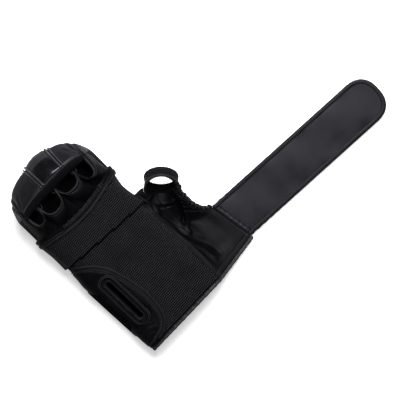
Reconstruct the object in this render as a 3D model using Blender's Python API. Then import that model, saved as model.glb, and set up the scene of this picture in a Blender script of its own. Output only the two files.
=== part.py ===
"""Open-fingered grappling glove for the right hand, lying on its padded back, palm up, its wrist strap laid open.

Metres, +Z up. +Y runs from the wrist to the fingers and +X from the little finger to the thumb.
The origin is on the surface that the glove lies on, under the middle of the palm.
"""

from collections import namedtuple
import math

import bmesh
import bpy
import numpy as np

# Gap between neighbouring pieces, and the walls of the materials.
CLEARANCE = 0.0003
LEATHER_WALL = 0.0018
MESH_WALL = 0.0024
LINING_WALL = 0.0012
LINING_SHARE = 0.82
PATCH_WALL = 0.0015

# Padding of the back, the knuckles and the fingers.
GLOVE_LENGTH = 0.270
WRIST_SETBACK = 0.080
PAD_WIDTH = 0.130
PAD_CENTRE = -0.003
CURL_HEIGHT = 0.088
SIDE_RUN = 0.231
SIDE_BLEND = 0.004
SIDE_WALL = 0.008
SIDE_THINNING = 0.35
CURL_SIDE_THINNING = 0.70
EDGE_LIFT = 0.005
CROWN_DROP = 0.22
PAD_FLAT_SHARE = 0.55
PAD_ROUNDING = 2.6

# Palm.
PALM_WIDTH = 0.1215
PALM_CROWN = 0.031
PALM_SQUARENESS = 0.55
CREASE_Y = 0.058
CREASE_SLANT = -0.095
CREASE_LAP = 0.008
THUMB_SEAM_X = 0.0555
THUMB_SEAM_GAP = 0.05
THUMB_PANEL_DROP = 0.006
WRIST_EDGE_Y = -0.0795
BINDING_RADIUS = 0.0026

# Finger band and loops.
BAND_Y = 0.0935
BAND_DEPTH = 0.0105
BAND_SWEEP = 0.011
LOOP_DEPTH = 0.0270
LOOP_BELLY = 0.0030
LOOP_WALL = 0.0016
LOOP_RISE = 0.06

# Reinforcing panel on the little finger's side, with the slot for the strap.
PANEL_LENGTH = 0.134
PANEL_BULGE = 0.042
PANEL_LOW_Y = -0.077
SLOT_X = -0.044
SLOT_Y = -0.0135
SLOT_LENGTH = 0.061
SLOT_WIDTH = 0.0056
SLOT_RING_LENGTH = 0.080
SLOT_RING_WIDTH = 0.021
SLOT_RING_RISE = 0.0016
WELT_RADIUS = 0.0016
PANEL_WALL = 0.0012

# Thumb ring: its heading on the surface and its pitch below it, from the palm outwards.
RING_X = 0.086
RING_Y = 0.048
RING_Z = 0.0315
RING_HEADING = math.radians(43.8)
RING_PITCH = math.radians(44.5)
RING_LENGTH = 0.020
RING_ACROSS = 0.042
RING_NEAR_HEIGHT = 0.050
RING_FAR_HEIGHT = 0.033
RING_FAR_SHIFT = 0.0035
RING_WALL = 0.0022
TAB_TURN_LOW = 122.0
TAB_TURN_HIGH = 88.0
TAB_PALM_ANGLE = 0.30
TAB_SHIFT = 0.0015
TAB_WIDTH = 0.0115
TAB_SAG = 0.0025

# Strap.
STRAP_LENGTH = 0.247
STRAP_WIDTH = 0.060
STRAP_THICKNESS = 0.0035
STRAP_TILT = math.radians(-4.4)
STRAP_SKEW = 0.21
STRAP_END_DEPTH = 0.030
STRAP_X = 0.1185
STRAP_Y = -0.0425
STRAP_SEAT = 0.0016
STRAP_BINDING_WIDTH = 0.0064
STRAP_BINDING_HEIGHT = 0.0058
HOOK_LENGTH = 0.090
HOOK_WALL = 0.0011
GATHER_RADIUS = 0.0027

PadRow = namedtuple("PadRow", "run rise inner_run inner_rise lift half shift")
PAD_ROWS = (
    # run and inner_run: shares of GLOVE_LENGTH from the wrist, of the outer and the inner face.
    # rise and inner_rise: shares of CURL_HEIGHT. lift: share of the loop patch's seat.
    # half: share of half PAD_WIDTH. shift: share of PAD_CENTRE, sideways.
    PadRow(run=0.000, rise=0.000, inner_run=0.000, inner_rise=0.202, lift=1.0, half=0.975, shift=1.0),
    PadRow(run=0.040, rise=0.000, inner_run=0.040, inner_rise=0.202, lift=1.0, half=0.980, shift=1.0),
    PadRow(run=0.400, rise=0.000, inner_run=0.400, inner_rise=0.202, lift=1.0, half=1.010, shift=1.1),
    PadRow(run=0.470, rise=0.000, inner_run=0.470, inner_rise=0.202, lift=0.0, half=0.985, shift=1.1),
    PadRow(run=0.610, rise=0.000, inner_run=0.605, inner_rise=0.206, lift=0.0, half=0.925, shift=1.8),
    PadRow(run=0.720, rise=0.030, inner_run=0.710, inner_rise=0.245, lift=0.0, half=0.985, shift=1.2),
    PadRow(run=0.830, rise=0.130, inner_run=0.790, inner_rise=0.385, lift=0.0, half=0.990, shift=1.0),
    PadRow(run=0.920, rise=0.310, inner_run=0.845, inner_rise=0.530, lift=0.0, half=0.980, shift=1.0),
    PadRow(run=0.980, rise=0.490, inner_run=0.875, inner_rise=0.615, lift=0.0, half=0.965, shift=1.0),
    PadRow(run=0.990, rise=0.650, inner_run=0.886, inner_rise=0.690, lift=0.0, half=0.950, shift=1.0),
    PadRow(run=0.963, rise=0.790, inner_run=0.884, inner_rise=0.755, lift=0.0, half=0.930, shift=1.0),
    PadRow(run=0.922, rise=0.905, inner_run=0.868, inner_rise=0.810, lift=0.0, half=0.905, shift=1.0),
    PadRow(run=0.876, rise=1.000, inner_run=0.845, inner_rise=0.865, lift=0.0, half=0.880, shift=1.0),
)
PAD_COLUMNS = (0.0, 0.18, 0.36, 0.53, 0.70, 0.86, 0.94, 0.985)
FLAT_ROWS = 5
CURL_SPLIT = 2

CrownRow = namedtuple("CrownRow", "run crown")
CROWN_ROWS = (
    # run: share of GLOVE_LENGTH from the wrist. crown: share of PALM_CROWN above the padding.
    CrownRow(run=-0.03, crown=0.60),
    CrownRow(run=0.15, crown=0.66),
    CrownRow(run=0.35, crown=0.76),
    CrownRow(run=0.55, crown=0.88),
    CrownRow(run=0.66, crown=0.97),
    CrownRow(run=0.80, crown=1.00),
)

Fold = namedtuple("Fold", "rim root")
FOLDS = (
    # Folds between the finger loops, as shares of half PALM_WIDTH from the centre line, at the rims and at the roots.
    Fold(rim=-0.93, root=-1.00),
    Fold(rim=-0.60, root=-0.52),
    Fold(rim=-0.03, root=0.08),
    Fold(rim=0.54, root=0.60),
    Fold(rim=0.93, root=1.00),
)
FINGERS = ("little", "ring", "middle", "index")
LOOP_DEPTH_SHARE = {"little": 0.85, "ring": 1.0, "middle": 0.85, "index": 1.0}

OutlineRow = namedtuple("OutlineRow", "along bulge")
PANEL_ROWS = (
    # along: share of PANEL_LENGTH from the wrist. bulge: share of PANEL_BULGE from the little finger's edge.
    OutlineRow(along=0.000, bulge=0.12),
    OutlineRow(along=0.025, bulge=0.53),
    OutlineRow(along=0.085, bulge=0.80),
    OutlineRow(along=0.200, bulge=0.95),
    OutlineRow(along=0.360, bulge=1.00),
    OutlineRow(along=0.550, bulge=0.92),
    OutlineRow(along=0.730, bulge=0.78),
    OutlineRow(along=0.850, bulge=0.59),
    OutlineRow(along=0.930, bulge=0.36),
    OutlineRow(along=1.000, bulge=0.10),
)

EdgeRow = namedtuple("EdgeRow", "along out rise")
EDGE_ROWS = (
    # Free edge of the thumb panel from the strap's upper corner (0) to the thumb ring (1).
    # out: shares of the corner-to-ring line's length, sideways. rise: share of the way up to the ring.
    EdgeRow(along=0.00, out=0.000, rise=0.00),
    EdgeRow(along=0.21, out=-0.155, rise=0.10),
    EdgeRow(along=0.44, out=-0.175, rise=0.30),
    EdgeRow(along=0.66, out=-0.125, rise=0.57),
    EdgeRow(along=0.85, out=-0.050, rise=0.80),
    EdgeRow(along=1.00, out=0.000, rise=1.00),
)

COLOURS = {
    "leather": ((0.020, 0.020, 0.023), 0.42),
    "strap_leather": ((0.030, 0.030, 0.034), 0.45),
    "mesh_fabric": ((0.012, 0.013, 0.014), 0.80),
    "lining": ((0.010, 0.010, 0.011), 0.90),
    "binding": ((0.016, 0.016, 0.018), 0.50),
    "gloss_panel": ((0.008, 0.008, 0.009), 0.12),
    "loop_pile": ((0.006, 0.006, 0.007), 1.00),
    "hook_tape": ((0.010, 0.010, 0.010), 0.60),
}


def through(knots, values, at):
    """Smooth curve through table rows that never overshoots them."""
    knots, values = np.asarray(knots, float), np.asarray(values, float)
    step = np.diff(knots)
    slope = np.diff(values) / step
    tangent = np.zeros(len(knots))
    tangent[0], tangent[-1] = slope[0], slope[-1]
    same = slope[1:] * slope[:-1] > 0
    before, after = slope[:-1][same], slope[1:][same]
    tangent[1:-1][same] = 2 * before * after / (before + after)
    at = np.clip(at, knots[0], knots[-1])
    i = np.clip(np.searchsorted(knots, at, side="right") - 1, 0, len(step) - 1)
    t = (at - knots[i]) / step[i]
    start = (1 + 2 * t) * (1 - t) ** 2 * values[i] + t * (1 - t) ** 2 * step[i] * tangent[i]
    end = t * t * (3 - 2 * t) * values[i + 1] + t * t * (t - 1) * step[i] * tangent[i + 1]
    return start + end


def smooth(t):
    t = np.clip(t, 0, 1)
    return t * t * (3 - 2 * t)


def power(value, exponent):
    """Power that keeps the sign, for superellipse outlines."""
    return np.sign(value) * np.abs(value) ** exponent


def unit(vectors):
    vectors = np.asarray(vectors, float)
    return vectors / np.linalg.norm(vectors, axis=-1, keepdims=True)


def column(rows, name):
    return np.array([getattr(row, name) for row in rows])


# The padding. A place on it is a station along the rows, a share across from -1 to 1, and a depth from the outer face.

PAD_SEAT = PATCH_WALL + CLEARANCE
LAST_STATION = len(PAD_ROWS) - 1.0
STATIONS = np.concatenate([
    np.arange(FLAT_ROWS - 1.0),
    np.linspace(FLAT_ROWS - 1.0, LAST_STATION, CURL_SPLIT * (len(PAD_ROWS) - FLAT_ROWS) + 1),
])
COLUMNS = np.array([-a for a in PAD_COLUMNS[:0:-1]] + list(PAD_COLUMNS))


def pad_row(name, station):
    return through(np.arange(len(PAD_ROWS)), column(PAD_ROWS, name), station)


def curl_share(station):
    """0 on the flat back, 1 once the padding stands up."""
    return smooth((station - (FLAT_ROWS - 1)) / 4.0)


def squash(y, limit, across):
    """Draws the guard's sides back to a limit, so that it is a dome from above."""
    past = SIDE_BLEND * np.logaddexp(0.0, (y - limit) / SIDE_BLEND)
    return y - past * (1 - np.sqrt(np.maximum(1 - np.abs(across) ** 2.5, 0.0)))


def pad_point(station, across, depth_share):
    """Point of the padding; depth_share is 0 on its outer face and 1 on its inner face."""
    station, across, depth_share = np.broadcast_arrays(station, across, depth_share)
    curl = curl_share(station)
    limit = -WRIST_SETBACK + SIDE_RUN
    outer_y = squash(-WRIST_SETBACK + GLOVE_LENGTH * pad_row("run", station), limit, across)
    inner_y = squash(-WRIST_SETBACK + GLOVE_LENGTH * pad_row("inner_run", station), limit - SIDE_WALL, across)
    z = CURL_HEIGHT * pad_row("rise", station) + PAD_SEAT * pad_row("lift", station)
    thinning = SIDE_THINNING + (CURL_SIDE_THINNING - SIDE_THINNING) * curl
    thick = (CURL_HEIGHT * pad_row("inner_rise", station) - z) * (1 - thinning * np.abs(across) ** 3)
    z = z * (1 - CROWN_DROP * np.abs(across) ** 3 * curl)
    z = z + EDGE_LIFT * smooth((np.abs(across) - 0.70) / 0.30) * (1 - curl)
    x = PAD_CENTRE * pad_row("shift", station) + 0.5 * PAD_WIDTH * pad_row("half", station) * across
    return np.stack([x, outer_y + (inner_y - outer_y) * depth_share, z + thick * depth_share], -1)


def pad_inward(station, across, depth_share):
    """Unit vector square to a face of the padding, towards the hand."""
    step = 0.1
    ahead = pad_point(np.minimum(station + step, LAST_STATION), across, depth_share)
    back = pad_point(np.maximum(station - step, 0), across, depth_share)
    along = ahead - back
    length = np.hypot(along[..., 1], along[..., 2])
    return np.stack([0 * length, -along[..., 2] / length, along[..., 1] / length], -1)


def pad_skin(across):
    """Depth share of the padding's rounded outer face."""
    past = np.clip((np.abs(across) - PAD_FLAT_SHARE) / (1 - PAD_FLAT_SHARE), 0, 1)
    return 0.5 - 0.5 * (1 - past ** PAD_ROUNDING) ** (1 / PAD_ROUNDING)


def pad_outer(station, across, out=0.0):
    """Point above the padding's outer face."""
    station, across = np.broadcast_arrays(station, across)
    skin = pad_skin(across)
    return pad_point(station, across, skin) - pad_inward(station, across, skin) * out


def pad_inner(station, across, out=0.0):
    """Point above the padding's inner face, in the hand's space."""
    station, across = np.broadcast_arrays(station, across)
    skin = 1 - pad_skin(across)
    return pad_point(station, across, skin) + pad_inward(station, across, skin) * out


# The palm. A place on it is an angle across, from 0 on the thumb's side to pi on the little finger's, and a y.

PALM_HALF = PALM_WIDTH / 2
FOOT_SHARE = PALM_HALF / (PAD_WIDTH / 2)


def foot_height(y, side):
    """Height of the padding's inner face under the palm's edge."""
    inner = pad_inner(np.linspace(0, FLAT_ROWS + 3.0, 60), side * FOOT_SHARE)
    return np.interp(y, inner[:, 1], inner[:, 2])


def waist(y):
    """Half width of the palm and its middle, which follow the padding's."""
    station = np.linspace(0, FLAT_ROWS + 1.0, 60)
    run = -WRIST_SETBACK + GLOVE_LENGTH * pad_row("run", station)
    half = np.interp(y, run, pad_row("half", station))
    return PALM_HALF * half, PAD_CENTRE * np.interp(y, run, pad_row("shift", station))


def palm_base(angle, y):
    angle, y = np.broadcast_arrays(angle, y)
    cosine, sine = np.cos(angle), np.sin(angle)
    half, centre = waist(y)
    run = (y + WRIST_SETBACK) / GLOVE_LENGTH
    crown = PALM_CROWN * through(column(CROWN_ROWS, "run"), column(CROWN_ROWS, "crown"), run)
    share = (1 + power(cosine, PALM_SQUARENESS)) / 2
    foot = foot_height(y, -1) * (1 - share) + foot_height(y, 1) * share + CLEARANCE
    x = centre + half * power(cosine, PALM_SQUARENESS)
    z = foot + crown * np.maximum(sine, 0.0) ** PALM_SQUARENESS
    return np.stack([x, y, z], -1)


def palm_point(angle, y, offset=0.0):
    """Point of the palm's layers; offset is the distance outside the palm mesh's inner face."""
    step = 0.004
    angle, y, offset = np.broadcast_arrays(angle, y, offset)
    low, high = np.clip(angle - step, 0, math.pi), np.clip(angle + step, 0, math.pi)
    across = palm_base(high, y) - palm_base(low, y)
    along = palm_base(angle, y + step) - palm_base(angle, y - step)
    normal = unit(np.cross(along, across))
    ends = (angle < step) | (angle > math.pi - step)
    normal = np.where(ends[..., None], np.stack([np.sign(math.pi / 2 - angle), 0 * y, 0 * y], -1), normal)
    return palm_base(angle, y) + normal * offset[..., None]


def palm_angle(x, y=0.0):
    """Angle on the palm of a place across it."""
    half, centre = waist(y)
    return np.arccos(power(np.clip((x - centre) / half, -1, 1), 1 / PALM_SQUARENESS))


def palm_x(angle, y=0.0):
    half, centre = waist(y)
    return centre + half * power(np.cos(angle), PALM_SQUARENESS)


MAIN_TOP = MESH_WALL
LAP_LOW = MAIN_TOP + 2 * CLEARANCE
LAP_TOP = LAP_LOW + MESH_WALL
BAND_LOW = LAP_TOP + CLEARANCE
BAND_TOP = BAND_LOW + LEATHER_WALL


def crease_y(x):
    return CREASE_Y + CREASE_SLANT * x


def band_y(x):
    """Lower edge of the finger band, which sweeps forward at both sides."""
    return BAND_Y + BAND_SWEEP * ((x - PAD_CENTRE) / PALM_HALF) ** 2


# Mesh building.


def material(slot):
    found = bpy.data.materials.get(slot)
    if found:
        return found
    colour, roughness = COLOURS[slot]
    made = bpy.data.materials.new(slot)
    made.use_nodes = True
    shader = made.node_tree.nodes["Principled BSDF"]
    shader.inputs["Base Color"].default_value = (*colour, 1.0)
    shader.inputs["Roughness"].default_value = roughness
    shader.inputs["Metallic"].default_value = 0.0
    made.diffuse_color = (*colour, 1.0)
    return made


def add_object(name, points, faces, slot):
    mesh = bpy.data.meshes.new(name)
    mesh.from_pydata([tuple(map(float, p)) for p in points], [], faces)
    shape = bmesh.new()
    shape.from_mesh(mesh)
    bmesh.ops.recalc_face_normals(shape, faces=shape.faces)
    shape.to_mesh(mesh)
    shape.free()
    mesh.shade_smooth()
    mesh.set_sharp_from_angle(angle=math.radians(40))
    mesh.materials.append(material(slot))
    made = bpy.data.objects.new(name, mesh)
    bpy.context.scene.collection.objects.link(made)
    return made


def wall(name, outer, inner, slot, closed=False):
    """Closed wall between two grids of points; closed joins the last column to the first."""
    rows, columns = outer.shape[:2]
    count = rows * columns

    def at(side, i, j):
        return side * count + i * columns + j % columns

    faces = []
    steps = columns if closed else columns - 1
    for i in range(rows - 1):
        for j in range(steps):
            faces.append((at(0, i, j), at(0, i, j + 1), at(0, i + 1, j + 1), at(0, i + 1, j)))
            faces.append((at(1, i, j), at(1, i + 1, j), at(1, i + 1, j + 1), at(1, i, j + 1)))
    for j in range(steps):
        for i in (0, rows - 1):
            faces.append((at(0, i, j), at(1, i, j), at(1, i, j + 1), at(0, i, j + 1)))
    if not closed:
        for i in range(rows - 1):
            for j in (0, columns - 1):
                faces.append((at(0, i, j), at(0, i + 1, j), at(1, i + 1, j), at(1, i, j)))
    points = np.concatenate([outer.reshape(-1, 3), inner.reshape(-1, 3)])
    return add_object(name, points, faces, slot)


def sweep(name, path, across, section, slot):
    """Sweeps a closed section along a path; across is the direction that the section's first axis keeps to."""
    path = np.asarray(path, float)
    tangent = unit(np.gradient(path, axis=0))
    across = np.broadcast_to(across, path.shape)
    side = unit(across - tangent * np.sum(across * tangent, -1, keepdims=True))
    up = np.cross(tangent, side)
    section = np.asarray(section, float)
    points = path[:, None] + side[:, None] * section[None, :, :1] + up[:, None] * section[None, :, 1:]
    return tube(name, points, slot)


def tube(name, points, slot):
    """Closed skin over rings of points, capped at both ends."""
    rows, columns = points.shape[:2]
    faces = [tuple(range(columns)), tuple((rows - 1) * columns + j for j in reversed(range(columns)))]
    for i in range(rows - 1):
        for j in range(columns):
            following = (j + 1) % columns
            faces.append((
                i * columns + j, i * columns + following,
                (i + 1) * columns + following, (i + 1) * columns + j,
            ))
    return add_object(name, points.reshape(-1, 3), faces, slot)


def round_section(radius, sides=8):
    turn = np.arange(sides) * 2 * math.pi / sides
    return np.stack([radius * np.cos(turn), radius * np.sin(turn)], -1)


def grid_normals(grid, closed=False):
    """Unit normals of a grid of points, rows crossed with columns."""
    down = np.gradient(grid, axis=0)
    if closed:
        over = (np.roll(grid, -1, 1) - np.roll(grid, 1, 1)) / 2
    else:
        over = np.gradient(grid, axis=1)
    return unit(np.cross(down, over))


def clear_scene():
    for found in list(bpy.data.objects):
        bpy.data.objects.remove(found)


# Pieces.


def make_pad():
    """Padding in one piece, from the wrist over the knuckles to the curled finger guard."""
    across = np.concatenate([COLUMNS, [1.0], COLUMNS[::-1], [-1.0]])
    skin = pad_skin(COLUMNS)
    depth = np.concatenate([skin, [0.5], 1 - skin[::-1], [0.5]])
    points = pad_point(STATIONS[:, None], across[None, :], depth[None, :])
    return tube("back_pad", points, "leather")


def make_lining():
    """Fabric over the finger guard's end and down its inside to the wrist."""
    across = np.concatenate([[-LINING_SHARE], COLUMNS[3:-3], [LINING_SHARE]])
    stations = np.concatenate([[LAST_STATION, LAST_STATION], STATIONS[::-1]])
    depth = np.ones((len(stations), len(across))) * (1 - pad_skin(across))
    depth[0], depth[1] = 0.12, 0.55
    base = pad_point(stations[:, None], across[None, :], depth)
    inward = pad_inward(stations[:, None], across[None, :], 1.0)
    out = inward.copy()
    end = np.stack([0 * inward[0, :, 0], inward[0, :, 2], -inward[0, :, 1]], -1)
    out[0] = out[1] = end
    out[2] = inward[2] + end
    return wall("pad_lining", base + out * (2 * CLEARANCE + LINING_WALL), base + out * 2 * CLEARANCE, "lining")


def make_knuckle_panel():
    """Glossy panel down the middle of the finger guard, with a piping on each side."""
    low, high = -0.10, 0.38
    stations = STATIONS[STATIONS > 6.2]
    stations[-1] -= 0.08
    across = np.concatenate([[low], COLUMNS[(COLUMNS > low) & (COLUMNS < high)], [high]])
    top = pad_outer(stations[:, None], across[None, :], 2 * CLEARANCE + PANEL_WALL)
    wall("knuckle_panel", top, pad_outer(stations[:, None], across[None, :], 2 * CLEARANCE), "gloss_panel")
    shift = 2 * (WELT_RADIUS + CLEARANCE) / PAD_WIDTH
    for name, place in (("knuckle_piping_ring", low - shift), ("knuckle_piping_index", high + shift)):
        path = pad_outer(stations, place, WELT_RADIUS + 2 * CLEARANCE)
        sweep(name, path, (1, 0, 0), round_section(WELT_RADIUS, 6), "binding")


def make_loop_patch():
    """Loop pile for the strap's hooks, under the back of the wrist and round the little finger's edge."""
    stations = np.linspace(1.22, 1.95, 5)[:, None]
    across = np.concatenate([[0.55], COLUMNS[(COLUMNS < 0.5) & (COLUMNS > -0.99)][::-1], [-1.0]])
    depth = np.concatenate([pad_skin(across[:-1]), [0.5]])
    base = pad_point(stations, across[None, :], depth[None, :])
    along = np.gradient(base, axis=1)
    out = unit(np.stack([-np.abs(along[..., 2]), 0 * along[..., 0], -np.abs(along[..., 0])], -1))
    out[:, -1] = (-1, 0, 0)
    out[:, across > -0.6] = (0, 0, -1)
    return wall("loop_patch", base + out * PAD_SEAT, base + out * CLEARANCE, "loop_pile")


def slot_cutter():
    """Upright block with round ends that cuts the strap's slot."""
    half, radius = SLOT_LENGTH / 2, SLOT_WIDTH / 2
    turn = np.linspace(0, math.pi, 7)
    upper = np.stack([radius * np.cos(turn), half - radius + radius * np.sin(turn)], -1)
    outline = np.concatenate([upper, -upper])
    low = float(foot_height(SLOT_Y, -1)) + PALM_CROWN / 4
    high = low + PALM_CROWN * 1.5
    points = [(SLOT_X + x, SLOT_Y + y, z) for z in (low, high) for x, y in outline]
    count = len(outline)
    faces = [tuple(range(count)), tuple(range(count, 2 * count))]
    faces += [(j, (j + 1) % count, count + (j + 1) % count, count + j) for j in range(count)]
    made = add_object("slot_cutter", points, faces, "leather")
    made.hide_render = True
    made.display_type = "WIRE"
    return made


def cut_slot(piece, cutter):
    cut = piece.modifiers.new("slot", "BOOLEAN")
    cut.operation = "DIFFERENCE"
    cut.solver = "EXACT"
    cut.object = cutter


def palm_patch(name, angles, y_of, low, high, slot):
    """Wall on the palm; y_of gives a column of y values for each place across."""
    y = np.array([y_of(float(palm_x(a))) for a in angles]).T
    grid_angle = np.broadcast_to(angles, y.shape)
    return wall(name, palm_point(grid_angle, y, high), palm_point(grid_angle, y, low), slot)


def make_palm():
    """Palm mesh in two layers; the finger half laps over the wrist half at the crease."""
    seam = float(palm_angle(THUMB_SEAM_X))
    main = palm_patch(
        "palm_mesh_wrist",
        np.linspace(math.pi, seam, 21),
        lambda x: np.linspace(WRIST_EDGE_Y, crease_y(x) + CREASE_LAP, 12),
        0.0, MAIN_TOP, "mesh_fabric",
    )
    palm_patch(
        "palm_mesh_fingers",
        np.linspace(math.pi, 0, 23),
        lambda x: np.linspace(crease_y(x), band_y(x) + 0.7 * BAND_DEPTH, 5),
        LAP_LOW, LAP_TOP, "mesh_fabric",
    )
    palm_patch(
        "finger_band",
        np.linspace(math.pi, 0, 23),
        lambda x: band_y(x) + np.linspace(0, BAND_DEPTH, 3),
        BAND_LOW, BAND_TOP, "leather",
    )
    palm_patch(
        "side_strip",
        np.linspace(math.pi - 0.02, math.pi * 0.86, 5),
        lambda x: np.linspace(crease_y(x) + 0.001, band_y(x) - CLEARANCE, 4),
        BAND_LOW, BAND_TOP, "leather",
    )
    first, last = (float(palm_angle(PAD_CENTRE + PALM_HALF * share)) for share in (-0.46, 0.70))
    palm_patch(
        "gather_tape",
        np.linspace(first, last, 13),
        lambda x: band_y(x) + BAND_DEPTH * np.array([0.45, 0.72, 0.98]),
        BAND_TOP + CLEARANCE, BAND_TOP + CLEARANCE + LEATHER_WALL, "binding",
    )
    return main


def make_wrist_binding():
    """Binding on the palm's wrist edge."""
    angles = np.linspace(math.pi - 0.05, float(palm_angle(THUMB_SEAM_X)), 17)
    y = np.full_like(angles, WRIST_EDGE_Y)
    path = palm_point(angles, y, MESH_WALL / 2) - np.array([0, BINDING_RADIUS + CLEARANCE, 0])
    path[:, 2] = np.maximum(path[:, 2], path[0, 2] + BINDING_RADIUS)
    sweep("wrist_binding", path, (0, 1, 0), round_section(BINDING_RADIUS), "binding")


def panel_outline(y):
    """Place across of the reinforcing panel's free edge."""
    along = (y - PANEL_LOW_Y) / PANEL_LENGTH
    bulge = through(column(PANEL_ROWS, "along"), column(PANEL_ROWS, "bulge"), along)
    return PAD_CENTRE - PALM_HALF + PANEL_BULGE * bulge


def panel_rows():
    """Rows along the panel, closer together at its rounded ends."""
    y = PANEL_LOW_Y + PANEL_LENGTH * (0.5 - 0.5 * np.cos(np.linspace(0, math.pi, 17)))
    return np.minimum(y, crease_y(panel_outline(y)) - 2 * CLEARANCE)


def make_reinforcement(cutter):
    """Reinforcing panel over the palm mesh, its welt, and the raised ring round the slot."""
    low, high = LAP_LOW, LAP_LOW + LEATHER_WALL
    y = panel_rows()
    side = math.pi - 0.01
    free = palm_angle(panel_outline(y), y)
    share = np.linspace(0, 1, 9)
    angles = side + (free[:, None] - side) * share[None, :]
    rows = np.broadcast_to(y[:, None], angles.shape)
    panel = wall(
        "reinforcing_panel", palm_point(angles, rows, high), palm_point(angles, rows, low), "leather"
    )
    cut_slot(panel, cutter)

    y = panel_rows()[1:-1]
    shift = WELT_RADIUS + 2 * CLEARANCE
    x = panel_outline(y)
    outward = unit(np.stack([np.gradient(y), -np.gradient(x)], -1))
    x, y = x + outward[:, 0] * shift, y + outward[:, 1] * shift
    keep = (y > WRIST_EDGE_Y + WELT_RADIUS) & (y < crease_y(x) - WELT_RADIUS - CLEARANCE)
    path = palm_point(palm_angle(x[keep], y[keep]), y[keep], LAP_LOW + WELT_RADIUS)
    sweep("panel_welt", path, (0, 0, 1), round_section(WELT_RADIUS, 6), "leather")

    turn = np.linspace(0, 2 * math.pi, 28, endpoint=False)
    inner_half = SLOT_WIDTH / 2 + 0.0008
    outer_half = SLOT_RING_WIDTH / 2
    straight = (SLOT_RING_LENGTH - SLOT_RING_WIDTH) / 2
    profile = ((0.0, 0.35), (0.2, 1.0), (0.8, 1.0), (1.0, 0.35))
    tops, feet = [], []
    for across, rise in profile:
        radius = inner_half + (outer_half - inner_half) * across
        reach = SLOT_LENGTH / 2 - SLOT_WIDTH / 2
        reach = reach + (straight - reach) * across
        x = SLOT_X + radius * np.cos(turn)
        y = SLOT_Y + radius * np.sin(turn) + reach * np.sign(np.round(np.sin(turn), 6))
        angle = palm_angle(x, y)
        feet.append(palm_point(angle, y, high + CLEARANCE))
        tops.append(palm_point(angle, y, high + CLEARANCE + SLOT_RING_RISE * rise))
    return wall("slot_ring", np.array(tops), np.array(feet), "leather", closed=True)


def rim_point(share, depth_share, place):
    """Point of a finger loop's rim between the folds place and place + 1, at a share from fold to fold."""
    turn = math.pi * share
    left = fold_top(place, 1)
    right = fold_top(place + 1, -1)
    middle, half = (left + right) / 2, (right - left) / 2
    out = unit([0.0, -1.0, LOOP_RISE])
    along = -power(np.cos(turn), 0.75)[..., None]
    depth = (np.maximum(np.sin(turn), 0) ** 0.62)[..., None]
    return middle + half * along + out * LOOP_DEPTH * depth_share * depth


ATTACH_STATION = LAST_STATION - 0.9


def lining_point(station, across):
    return pad_inner(station, across, LINING_WALL + 8 * CLEARANCE)


def fold_top(place, side):
    """Where a fold meets the finger guard's lining; side is the way to the loop it belongs to."""
    across = FOLDS[place].rim * FOOT_SHARE
    point = lining_point(ATTACH_STATION, across).reshape(3)
    inner = 0 < place < len(FOLDS) - 1
    return point + np.array([side * CLEARANCE if inner else 0.0, 0.0, 0.0])


def fold_root(place, side):
    """Place across of a fold at the finger band."""
    inner = 0 < place < len(FOLDS) - 1
    half, centre = waist(BAND_Y + BAND_DEPTH)
    return centre + half * FOLDS[place].root + (side * CLEARANCE if inner else 0.0)


def make_loops():
    """Four leather loops, each from the finger band up to its rim, folded back to the lining on both sides."""
    rises = np.linspace(0, 1, 7)
    share = np.linspace(0, 1, 13)
    for place, finger in enumerate(FINGERS):
        first = float(palm_angle(fold_root(place, 1), BAND_Y + BAND_DEPTH))
        last = float(palm_angle(fold_root(place + 1, -1), BAND_Y + BAND_DEPTH))
        angles = first + (last - first) * share
        y = band_y(palm_x(angles)) + BAND_DEPTH + 3 * CLEARANCE
        root = palm_point(angles, y, BAND_TOP)
        rim = rim_point(share, LOOP_DEPTH_SHARE[finger], place)
        grid = root[None] * (1 - rises[:, None, None]) + rim[None] * rises[:, None, None]
        belly = LOOP_BELLY * np.sin(math.pi * rises)[:, None] * np.sin(math.pi * share)[None, :]
        grid[..., 2] += belly
        for column_at, side in ((0, -1), (len(share) - 1, 1)):
            if (finger, side) not in (("little", -1), ("index", 1)):
                continue
            edge = side_edge(rises, side, grid[0, column_at], grid[-1, column_at])
            reach = np.clip(1 - np.abs(share - share[column_at]) / 0.55, 0, 1) ** 2
            grid = grid + (edge - grid[:, column_at])[:, None] * reach[None, :, None]
        normal = grid_normals(grid)
        normal = normal * np.sign(np.mean(normal @ np.array([0.0, -0.6, 0.8])))
        normal[:, 1:-1] = unit(normal[:, 1:-1] * 2 + normal[:, :-2] + normal[:, 2:])
        for column_at, side in ((0, -1), (-1, 1)):
            turned = smooth(1.5 * rises)[:, None]
            normal[:, column_at] = unit(normal[:, column_at] * (1 - turned) + np.array([side, 0, 0]) * turned)
        inner = grid - normal * LOOP_WALL
        inner[0, :, 1] = np.maximum(inner[0, :, 1], grid[0, :, 1])
        wall("finger_loop_" + finger, grid, inner, "leather")


def side_edge(rises, side, start, end):
    """Edge of an outer finger loop, which follows the inner rim of the padding up to the guard's end."""
    stations = np.linspace(FLAT_ROWS - 1.0, ATTACH_STATION, 50)
    across = np.interp(stations, (stations[0], stations[-1]), (side * FOOT_SHARE, side * 0.93))
    rim = lining_point(stations, across)
    rim = rim[rim[:, 1] > start[1]]
    path = np.concatenate([start[None], rim[1:-1], end[None]])
    length = np.concatenate([[0], np.cumsum(np.linalg.norm(np.diff(path, axis=0), axis=1))])
    at = rises * length[-1]
    return np.stack([np.interp(at, length, path[:, k]) for k in range(3)], -1)


def ring_axes():
    """Directions of the thumb ring: out along its axis, across it, and square to both."""
    flat = np.array([math.cos(RING_HEADING), math.sin(RING_HEADING), 0.0])
    axis = flat * math.cos(RING_PITCH) - np.array([0.0, 0.0, math.sin(RING_PITCH)])
    across = np.array([-flat[1], flat[0], 0.0])
    return axis, across, np.cross(axis, across)


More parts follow.
